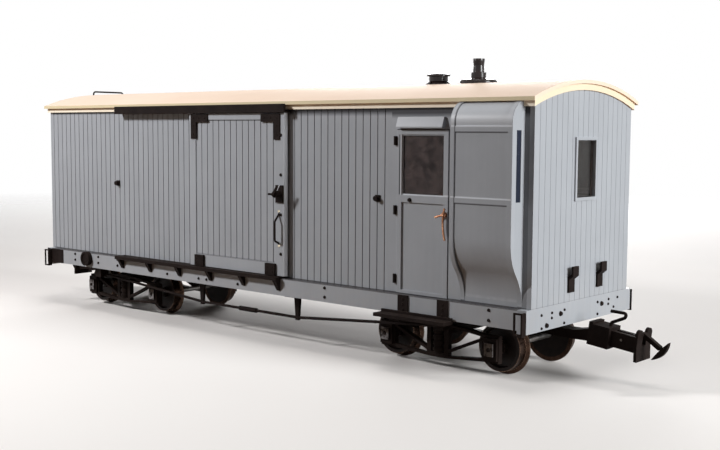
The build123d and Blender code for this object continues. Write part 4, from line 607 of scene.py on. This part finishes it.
GREY_BY_NODE = {
    "side_near": grey_sides, "side_far": grey_sides, "end_left": grey_ends, "end_right": grey_ends,
    "goods_door_near": grey_goods_door, "goods_door_far": grey_goods_door, "solebars": grey_solebars,
    "duckets": grey_duckets, "guard_door_near": grey_guard_door, "guard_door_far": grey_guard_door,
}
BY_SLOT = {
    "grey_body": grey_plain, "cream_roof": roof_top, "black_iron": black_iron,
    "brown_underfloor": brown_tank, "axle_steel": axle_steel, "brass": lever_copper,
    "window_glass": glazing,
}


def finish_all():
    """Each CAD node's finish, from its slot in the record."""
    for row in frame["record"]["subparts"]:
        node, slot = row["node"], row["material_slot"]
        if slot == "wheel_metal":
            low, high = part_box(node)
            finish(node, make_wheel(node, ((low.x + high.x) / 2, (low.z + high.z) / 2)))
        else:
            finish(node, GREY_BY_NODE.get(node, BY_SLOT[slot]))
    finish("roof_base", roof_band)
    finish("ducket_glass", slit_glazing)
    for node in ("guard_glass_near", "guard_glass_far"):
        finish(node, door_glazing)
    for node in ("chimney", "lamp_top"):
        finish(node, black_enamel)
    for node in ("bogie_sides_left", "bogie_sides_right"):
        finish(node, bogie_iron)
    for node in ("goods_door_irons_near", "goods_door_irons_far"):
        finish(node, latch_iron)


finish_all()


# Bolt heads, set on points that each carry the way they face

def build_bolt_tree():
    """Geometry nodes that stand a bevelled round head on each point."""
    tree = bpy.data.node_groups.new("bolt_heads", "GeometryNodeTree")
    tree.interface.new_socket("Geometry", in_out="INPUT", socket_type="NodeSocketGeometry")
    for label, value in (("Head radius", 0.8 * MM), ("Head height", 0.5 * MM), ("Top share", 0.7)):
        tree.interface.new_socket(label, in_out="INPUT", socket_type="NodeSocketFloat").default_value = value
    tree.interface.new_socket("Sides", in_out="INPUT", socket_type="NodeSocketInt").default_value = 10
    tree.interface.new_socket("Seed", in_out="INPUT", socket_type="NodeSocketInt").default_value = 3
    tree.interface.new_socket("Finish", in_out="INPUT", socket_type="NodeSocketMaterial")
    tree.interface.new_socket("Geometry", in_out="OUTPUT", socket_type="NodeSocketGeometry")
    given, result = tree.nodes.new("NodeGroupInput"), tree.nodes.new("NodeGroupOutput")
    top_radius = maths(tree, "MULTIPLY", given.outputs["Head radius"], given.outputs["Top share"])
    head = put(tree, "GeometryNodeMeshCone", {
        "Vertices": given.outputs["Sides"], "Side Segments": 1, "Fill Segments": 1, "Radius Top": top_radius,
        "Radius Bottom": given.outputs["Head radius"], "Depth": given.outputs["Head height"],
    }, fill_type="NGON")
    facing = put(tree, "GeometryNodeInputNamedAttribute", {"Name": "facing"}, data_type="FLOAT_VECTOR")
    turned = put(tree, "FunctionNodeAlignRotationToVector", {"Vector": facing.outputs["Attribute"]}, axis="Z")
    spin = put(tree, "FunctionNodeRandomValue", {"Seed": given.outputs["Seed"]}, data_type="FLOAT")
    spin.inputs[3].default_value = math.tau
    about_self = put(tree, "FunctionNodeAxisAngleToRotation", {"Axis": (0, 0, 1), "Angle": spin.outputs[1]})
    both = put(tree, "FunctionNodeRotateRotation", {
        "Rotation": turned.outputs[0], "Rotate By": about_self.outputs[0],
    }, rotation_space="LOCAL")
    placed = put(tree, "GeometryNodeInstanceOnPoints", {"Points": given.outputs["Geometry"],
                                                        "Instance": head.outputs["Mesh"],
                                                        "Rotation": both.outputs[0]})
    real = put(tree, "GeometryNodeRealizeInstances", {"Geometry": placed.outputs[0]})
    dressed = put(tree, "GeometryNodeSetMaterial", {"Geometry": real.outputs[0],
                                                    "Material": given.outputs["Finish"]})
    tree.links.new(dressed.outputs[0], result.inputs[0])
    return tree


bolt_tree = build_bolt_tree()


# How far a head is let into its face, in millimetres, and its top's radius as a share of its foot's
LET_IN = 0.05
TOP_SHARE = 0.7


def bolts(name, spots, body, material, radius, height, sides=10):
    """Bolt heads on a body; spots are a place and the way it faces, sizes are in millimetres."""
    mesh = bpy.data.meshes.new(name + "_points")
    mesh.from_pydata([Vector(place) - LET_IN * MM * Vector(facing) for place, facing in spots], [], [])
    way = mesh.attributes.new("facing", "FLOAT_VECTOR", "POINT")
    way.data.foreach_set("vector", [value for _, facing in spots for value in facing])
    holder = bpy.data.objects.new(name, mesh)
    bpy.context.scene.collection.objects.link(holder)
    modifier = holder.modifiers.new("bolt_heads", "NODES")
    modifier.node_group = bolt_tree
    identifiers = {s.name: s.identifier for s in bolt_tree.interface.items_tree
                   if s.item_type == "SOCKET" and s.in_out == "INPUT"}
    for label, value in (("Head radius", radius * MM), ("Head height", (height + LET_IN) * MM),
                         ("Top share", TOP_SHARE), ("Sides", sides), ("Finish", material)):
        modifier[identifiers[label]] = value
    bpy.context.view_layer.update()
    made = bpy.data.meshes.new_from_object(holder.evaluated_get(bpy.context.evaluated_depsgraph_get()))
    holder.modifiers.remove(modifier)
    holder.data = made
    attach(holder, body)


LEFT, RIGHT, NEAR, FAR = (-1, 0, 0), (1, 0, 0), (0, -1, 0), (0, 1, 0)

# Y and Z from the deck on the right headstock, in millimetres
HEADSTOCK_SMALL = (
    (-36.9, -3.5), (-36.7, -9.7), (-27.7, -3.4), (-27.8, -5.8), (-16.4, -3.3), (-16.5, -9.6),
    (15.4, -3.3), (15.5, -9.3), (26.7, -3.1), (26.4, -5.5), (35.9, -3.1), (32.0, -7.6),
)
HEADSTOCK_BIG = ((-32.4, -8.8), (-20.0, -4.7), (19.4, -4.5))
# X and Z from the deck on the near solebar, in millimetres
SOLEBAR_SPOTS = (
    (-160.0, -1.9), (-160.0, -5.8), (-134.0, -1.9), (-134.0, -5.8), (-113.3, -1.9), (-113.3, -5.8),
    (67.8, -1.9), (67.8, -6.8), (172.0, -1.8), (172.0, -6.6),
    (-63.2, -6.5), (-34.0, -6.5), (-27.0, -6.5), (0.1, -6.5),
)
# The footboard's straps, in millimetres
STRAP_THICK = 0.8
STRAP_X = (121.2, 145.5)
STRAP_Z = (-2.0, -4.6, -7.2)


def body_bolts():
    """Bolt heads on the headstocks, solebars and footboard straps."""
    small, big, sole = [], [], []
    for spots, found in ((HEADSTOCK_SMALL, small), (HEADSTOCK_BIG, big)):
        for y, z in spots:
            found.append(((HEADSTOCK_FACE, y * MM, DECK + z * MM), RIGHT))
            found.append(((-HEADSTOCK_FACE, -y * MM, DECK + z * MM), LEFT))
    strap_face = SOLEBAR_FACE + STRAP_THICK * MM
    straps = []
    for side, facing in ((-1, NEAR), (1, FAR)):
        for x, z in SOLEBAR_SPOTS:
            sole.append(((x * MM, side * SOLEBAR_FACE, DECK + z * MM), facing))
        for x in STRAP_X:
            for z in STRAP_Z:
                straps.append(((x * MM, side * strap_face, DECK + z * MM), facing))
    bolts("small_bolts", small, "van", black_iron, radius=0.75, height=0.5)
    bolts("solebar_bolts", sole, "van", black_iron, radius=0.9, height=0.6)
    bolts("coupling_bolts", big, "van", black_iron, radius=1.3, height=0.9, sides=12)
    bolts("strap_bolts", straps, "van", black_iron, radius=0.7, height=0.5)


# The goods door's fittings: how far each is in from the door's left or right edge, and how thick
CORNER_IN = (2.0 * MM, 3.0 * MM)
SHOE_IN = (9.2 * MM, 10.1 * MM)
STILE_BOLT_IN = 2.5 * MM
PULL_IN = 4.0 * MM
CORNER_DROP = 0.3 * MM
CORNER_THICK = 0.6 * MM
SHOE_THICK = 1.4 * MM
# Their bolts and pins, in millimetres: Z from the deck, X and down from a corner iron's own corner,
# and X and Z from the middle of a shoe's foot
STILE_BOLT_Z = (13.4, 35.0, 56.7, 78.3)
PULL_PIN_Z = (17.8, 36.8)
CORNER_SPOTS = ((2.2, 2.2), (7.0, 2.2), (12.2, 2.2), (2.2, 6.8), (2.2, 11.6))
SHOE_SPOTS = ((-2.1, 4.4), (2.1, 4.4), (-2.1, 1.8), (2.1, 1.8))


def door_bolts():
    """Bolt heads on each goods door's stile, corner irons and shoes, and the pull's pins."""
    low, high = GOODS_DOOR_LOW, GOODS_DOOR_HIGH
    top = high.z - CORNER_DROP
    for side, facing, label in ((-1, NEAR, "near"), (1, FAR, "far")):
        face = side * -low.y
        plate = face + side * CORNER_THICK
        shoe_face = face + side * SHOE_THICK
        spots = [((high.x - STILE_BOLT_IN, face, DECK + z * MM), facing) for z in STILE_BOLT_Z]
        small = []
        for edge, way in ((low.x + CORNER_IN[0], 1), (high.x - CORNER_IN[1], -1)):
            small += [((edge + way * x * MM, plate, top - z * MM), facing) for x, z in CORNER_SPOTS]
        for centre in (low.x + SHOE_IN[0], high.x - SHOE_IN[1]):
            small += [((centre + x * MM, shoe_face, low.z + z * MM), facing) for x, z in SHOE_SPOTS]
        pins = [((high.x - PULL_IN, face, DECK + z * MM), facing) for z in PULL_PIN_Z]
        body = f"{label}_goods_door"
        bolts(f"stile_bolts_{label}", spots, body, black_iron, radius=0.95, height=0.6)
        bolts(f"iron_bolts_{label}", small, body, black_iron, radius=0.6, height=0.25, sides=8)
        bolts(f"pull_pins_{label}", pins, body, bright_pin, radius=0.85, height=0.4)


# The guard's door lock, from the door's left-hand edge and the deck
LOCK_IN = 8.0 * MM
LOCK_UP = 46.9 * MM


def guard_door_locks():
    """The round lock on each guard's door, on the left of its middle rail."""
    for side, facing, label in ((-1, NEAR, "near"), (1, FAR, "far")):
        spot = (GUARD_DOOR_LEFT + LOCK_IN, side * -GUARD_DOOR_FACE, DECK + LOCK_UP)
        bolts(f"guard_door_lock_{label}", [(spot, facing)], f"{label}_guard_door", black_iron,
              radius=1.15, height=0.9, sides=14)


# The height of the axlebox lids' bolts, and the drawbar's pin from the middle of the van
LID_Z = 14.0 * MM
DRAWBAR_PIN = (215.5 * MM, 3.4 * MM, 21.4 * MM)


def bogie_bolts():
    """The bolt on each axlebox lid, and the pin through each drawbar, whose ends both show."""
    pin_x, pin_y, pin_z = DRAWBAR_PIN
    for way, label in ((-1, "left"), (1, "right")):
        lids, pins = [], []
        for side, facing in ((-1, NEAR), (1, FAR)):
            for place in ("inner", "outer"):
                low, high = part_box(f"axle_{label}_{place}")
                lids.append((((low.x + high.x) / 2, side * LID_FACE, LID_Z), facing))
            pins.append(((way * pin_x, side * pin_y, pin_z), facing))
        body = f"bogie_{label}"
        bolts(f"lid_bolts_{label}", lids, body, black_iron, radius=1.1, height=0.5, sides=12)
        bolts(f"drawbar_pins_{label}", pins, body, dull_pin, radius=0.7, height=0.35)


body_bolts()
door_bolts()
guard_door_locks()
bogie_bolts()


# Vacuum cylinder: a narrower, shallower bowl than the frame's solid, in the same place

BOWL_RADIUS = 11.7 * MM
BOWL_DEPTH = 6.0 * MM
BOWL_STEPS = 14
FLANGE_RADIUS = 13.0 * MM
FLANGE_UNDER = 26.8 * MM
FLANGE_TOP = 28.0 * MM
NECK_RADIUS = 7.0 * MM
NECK_FOOT = 2 * FLANGE_TOP - FLANGE_UNDER
LUG_AT = 13.4 * MM
LUG_RADIUS = 1.5 * MM
LUG_STEPS = 8


def bowl_profile():
    """Radius and height up the bowl, half an ellipse, from its lowest point to the flange."""
    for step in range(BOWL_STEPS + 1):
        up = math.sin(math.pi / 2 * step / BOWL_STEPS)
        yield BOWL_RADIUS * math.sqrt(1 - (1 - up) ** 2), FLANGE_UNDER - BOWL_DEPTH * (1 - up)


def turn_profile(shape, profile, smooth_rings, sides=56):
    """A closed shape turned about the upright axis from radii and heights; its ends are on the axis."""
    rings = []
    for radius, height in profile:
        angles = [math.tau * i / sides for i in range(sides if radius > 0 else 1)]
        rings.append([shape.verts.new((radius * math.cos(a), radius * math.sin(a), height)) for a in angles])
    for number, (lower, upper) in enumerate(zip(rings, rings[1:])):
        for i in range(sides):
            around = ((lower, i), (lower, i + 1), (upper, i + 1), (upper, i))
            face = shape.faces.new(dict.fromkeys(ring[k % len(ring)] for ring, k in around))
            face.smooth = number < smooth_rings


def add_lug(shape):
    """The rounded ear on the flange's right-hand side."""
    outline = [(BOWL_RADIUS, LUG_RADIUS), (BOWL_RADIUS, -LUG_RADIUS)]
    for step in range(LUG_STEPS + 1):
        angle = math.pi * (step / LUG_STEPS - 0.5)
        outline.append((LUG_AT + LUG_RADIUS * math.cos(angle), LUG_RADIUS * math.sin(angle)))
    under, over = ([shape.verts.new((x, y, z)) for x, y in outline] for z in (FLANGE_UNDER, FLANGE_TOP))
    shape.faces.new(under)
    shape.faces.new(over)
    for i in range(len(outline)):
        j = (i + 1) % len(outline)
        shape.faces.new((under[i], under[j], over[j], over[i]))


def hang_vacuum_cylinder():
    """The round bowl under its flange, hung by a neck from the bearers."""
    low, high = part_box("vacuum_cylinder")
    reach = (high.y - low.y) / 2
    shape = bmesh.new()
    bowl = list(bowl_profile())
    above = [(FLANGE_RADIUS, FLANGE_UNDER), (FLANGE_RADIUS, FLANGE_TOP), (NECK_RADIUS, NECK_FOOT),
             (NECK_RADIUS, high.z), (0.0, high.z)]
    turn_profile(shape, bowl + above, smooth_rings=len(bowl) - 1)
    add_lug(shape)
    bmesh.ops.translate(shape, verts=shape.verts, vec=(low.x + reach, low.y + reach, 0.0))
    bmesh.ops.recalc_face_normals(shape, faces=shape.faces)
    mesh = bpy.data.meshes.new("vacuum_cylinder_bowl")
    shape.to_mesh(mesh)
    shape.free()
    mesh.materials.append(brown_tank)
    tank = bpy.data.objects.new("vacuum_cylinder_bowl", mesh)
    bpy.context.scene.collection.objects.link(tank)
    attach(tank, "van")
    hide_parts("vacuum_cylinder")


hang_vacuum_cylinder()


# Camera, floor and light

# Half the floor's side, how far out it starts to fade and is gone, and the points that the lamps face
FLOOR_HALF = 6.0
FLOOR_FADE = (0.45, 1.5)
LOOK_AT = (0.0, 0.0, 80 * MM)
END_AT = (150 * MM, 0.0, 80 * MM)


def place_camera():
    """The camera at the photograph's viewing angle."""
    data = bpy.data.cameras.new("photo_camera")
    data.sensor_width = SENSOR
    data.lens = FOCAL_PIXELS / IMAGE_WIDTH * SENSOR
    data.clip_start = 0.01
    camera = bpy.data.objects.new("photo_camera", data)
    bpy.context.scene.collection.objects.link(camera)
    camera.location = CAMERA_AT
    turn, drop = math.radians(CAMERA_AZIMUTH), math.radians(CAMERA_ELEVATION)
    forward = Vector((-math.sin(turn) * math.cos(drop), math.cos(turn) * math.cos(drop), -math.sin(drop)))
    look = forward.to_track_quat("-Z", "Y").to_matrix().to_4x4()
    roll = Matrix.Rotation(math.radians(-CAMERA_ROLL), 4, Vector((0, 0, -1)))
    camera.rotation_euler = (look @ roll).to_euler()
    bpy.context.scene.camera = camera


def lay_floor():
    """A wide pale floor that fades out, clear from below so that the underframe can be seen."""
    mesh = bpy.data.meshes.new("studio_floor")
    corners = [(x * FLOOR_HALF, y * FLOOR_HALF, 0) for x, y in ((-1, -1), (1, -1), (1, 1), (-1, 1))]
    mesh.from_pydata(corners, [], [(0, 1, 2, 3)])
    ground = bpy.data.objects.new("studio_floor", mesh)
    bpy.context.scene.collection.objects.link(ground)
    material, tree, shader, position = start_material("studio_floor")
    tone = spread(tree, noise(tree, position, scale=3.0, detail=4.0), 0.3, 0.7)
    seen = blend_colour(tree, tone, (0.80, 0.76, 0.73, 1), (0.83, 0.80, 0.77, 1))
    bounce = tree.nodes.new("ShaderNodeLightPath").outputs["Is Diffuse Ray"]
    tree.links.new(blend_colour(tree, bounce, seen, (0.105, 0.053, 0.020, 1)), shader.inputs["Base Color"])
    away = put(tree, "ShaderNodeVectorMath", {0: position}, operation="LENGTH").outputs["Value"]
    above = maths(tree, "SUBTRACT", 1.0, put(tree, "ShaderNodeNewGeometry").outputs["Backfacing"])
    tree.links.new(maths(tree, "MULTIPLY", spread(tree, away, *FLOOR_FADE, 1.0, 0.0), above),
                   shader.inputs["Alpha"])
    shader.inputs["Roughness"].default_value = 0.85
    mesh.materials.append(material)


def lamp(name, place, aim, size, power, colour):
    """A square soft light that faces a point."""
    data = bpy.data.lights.new(name, "AREA")
    data.size, data.energy, data.color = size, power, colour
    made = bpy.data.objects.new(name, data)
    bpy.context.scene.collection.objects.link(made)
    made.location = place
    made.rotation_euler = (Vector(aim) - Vector(place)).to_track_quat("-Z", "Y").to_euler()


def light_scene():
    """A small key light from the load end, larger ones round the van, and a pale surround."""
    lamp("key_light", (-0.265, -0.435, 0.375), LOOK_AT, size=0.07, power=2.75, colour=(0.985, 0.985, 1.0))
    lamp("end_light", (1.60, 0.09, 0.50), END_AT, size=0.58, power=31.0, colour=(0.96, 0.985, 1.0))
    lamp("top_light", (0.10, -0.15, 1.6), LOOK_AT, size=0.4, power=4.6, colour=(1.0, 0.97, 0.95))
    lamp("back_light", (-0.75, 1.25, 0.40), LOOK_AT, size=0.7, power=17.0, colour=(0.985, 0.985, 1.0))
    world = bpy.data.worlds.new("studio")
    bpy.context.scene.world = world
    world.use_nodes = True
    tree = world.node_tree
    tree.nodes.clear()
    path = tree.nodes.new("ShaderNodeLightPath").outputs
    plain = maths(tree, "MAXIMUM", path["Is Camera Ray"],
                  maths(tree, "MAXIMUM", path["Is Glossy Ray"], path["Is Transmission Ray"]))
    soft = put(tree, "ShaderNodeBackground", {"Color": (0.94, 0.96, 1.0, 1), "Strength": 0.02})
    white = put(tree, "ShaderNodeBackground", {"Color": (1, 1, 1, 1), "Strength": 1.0})
    mixed = put(tree, "ShaderNodeMixShader", {0: plain, 1: soft.outputs[0], 2: white.outputs[0]})
    out = tree.nodes.new("ShaderNodeOutputWorld")
    tree.links.new(mixed.outputs[0], out.inputs["Surface"])


place_camera()
lay_floor()
light_scene()
bpy.context.scene.view_settings.view_transform = "Standard"
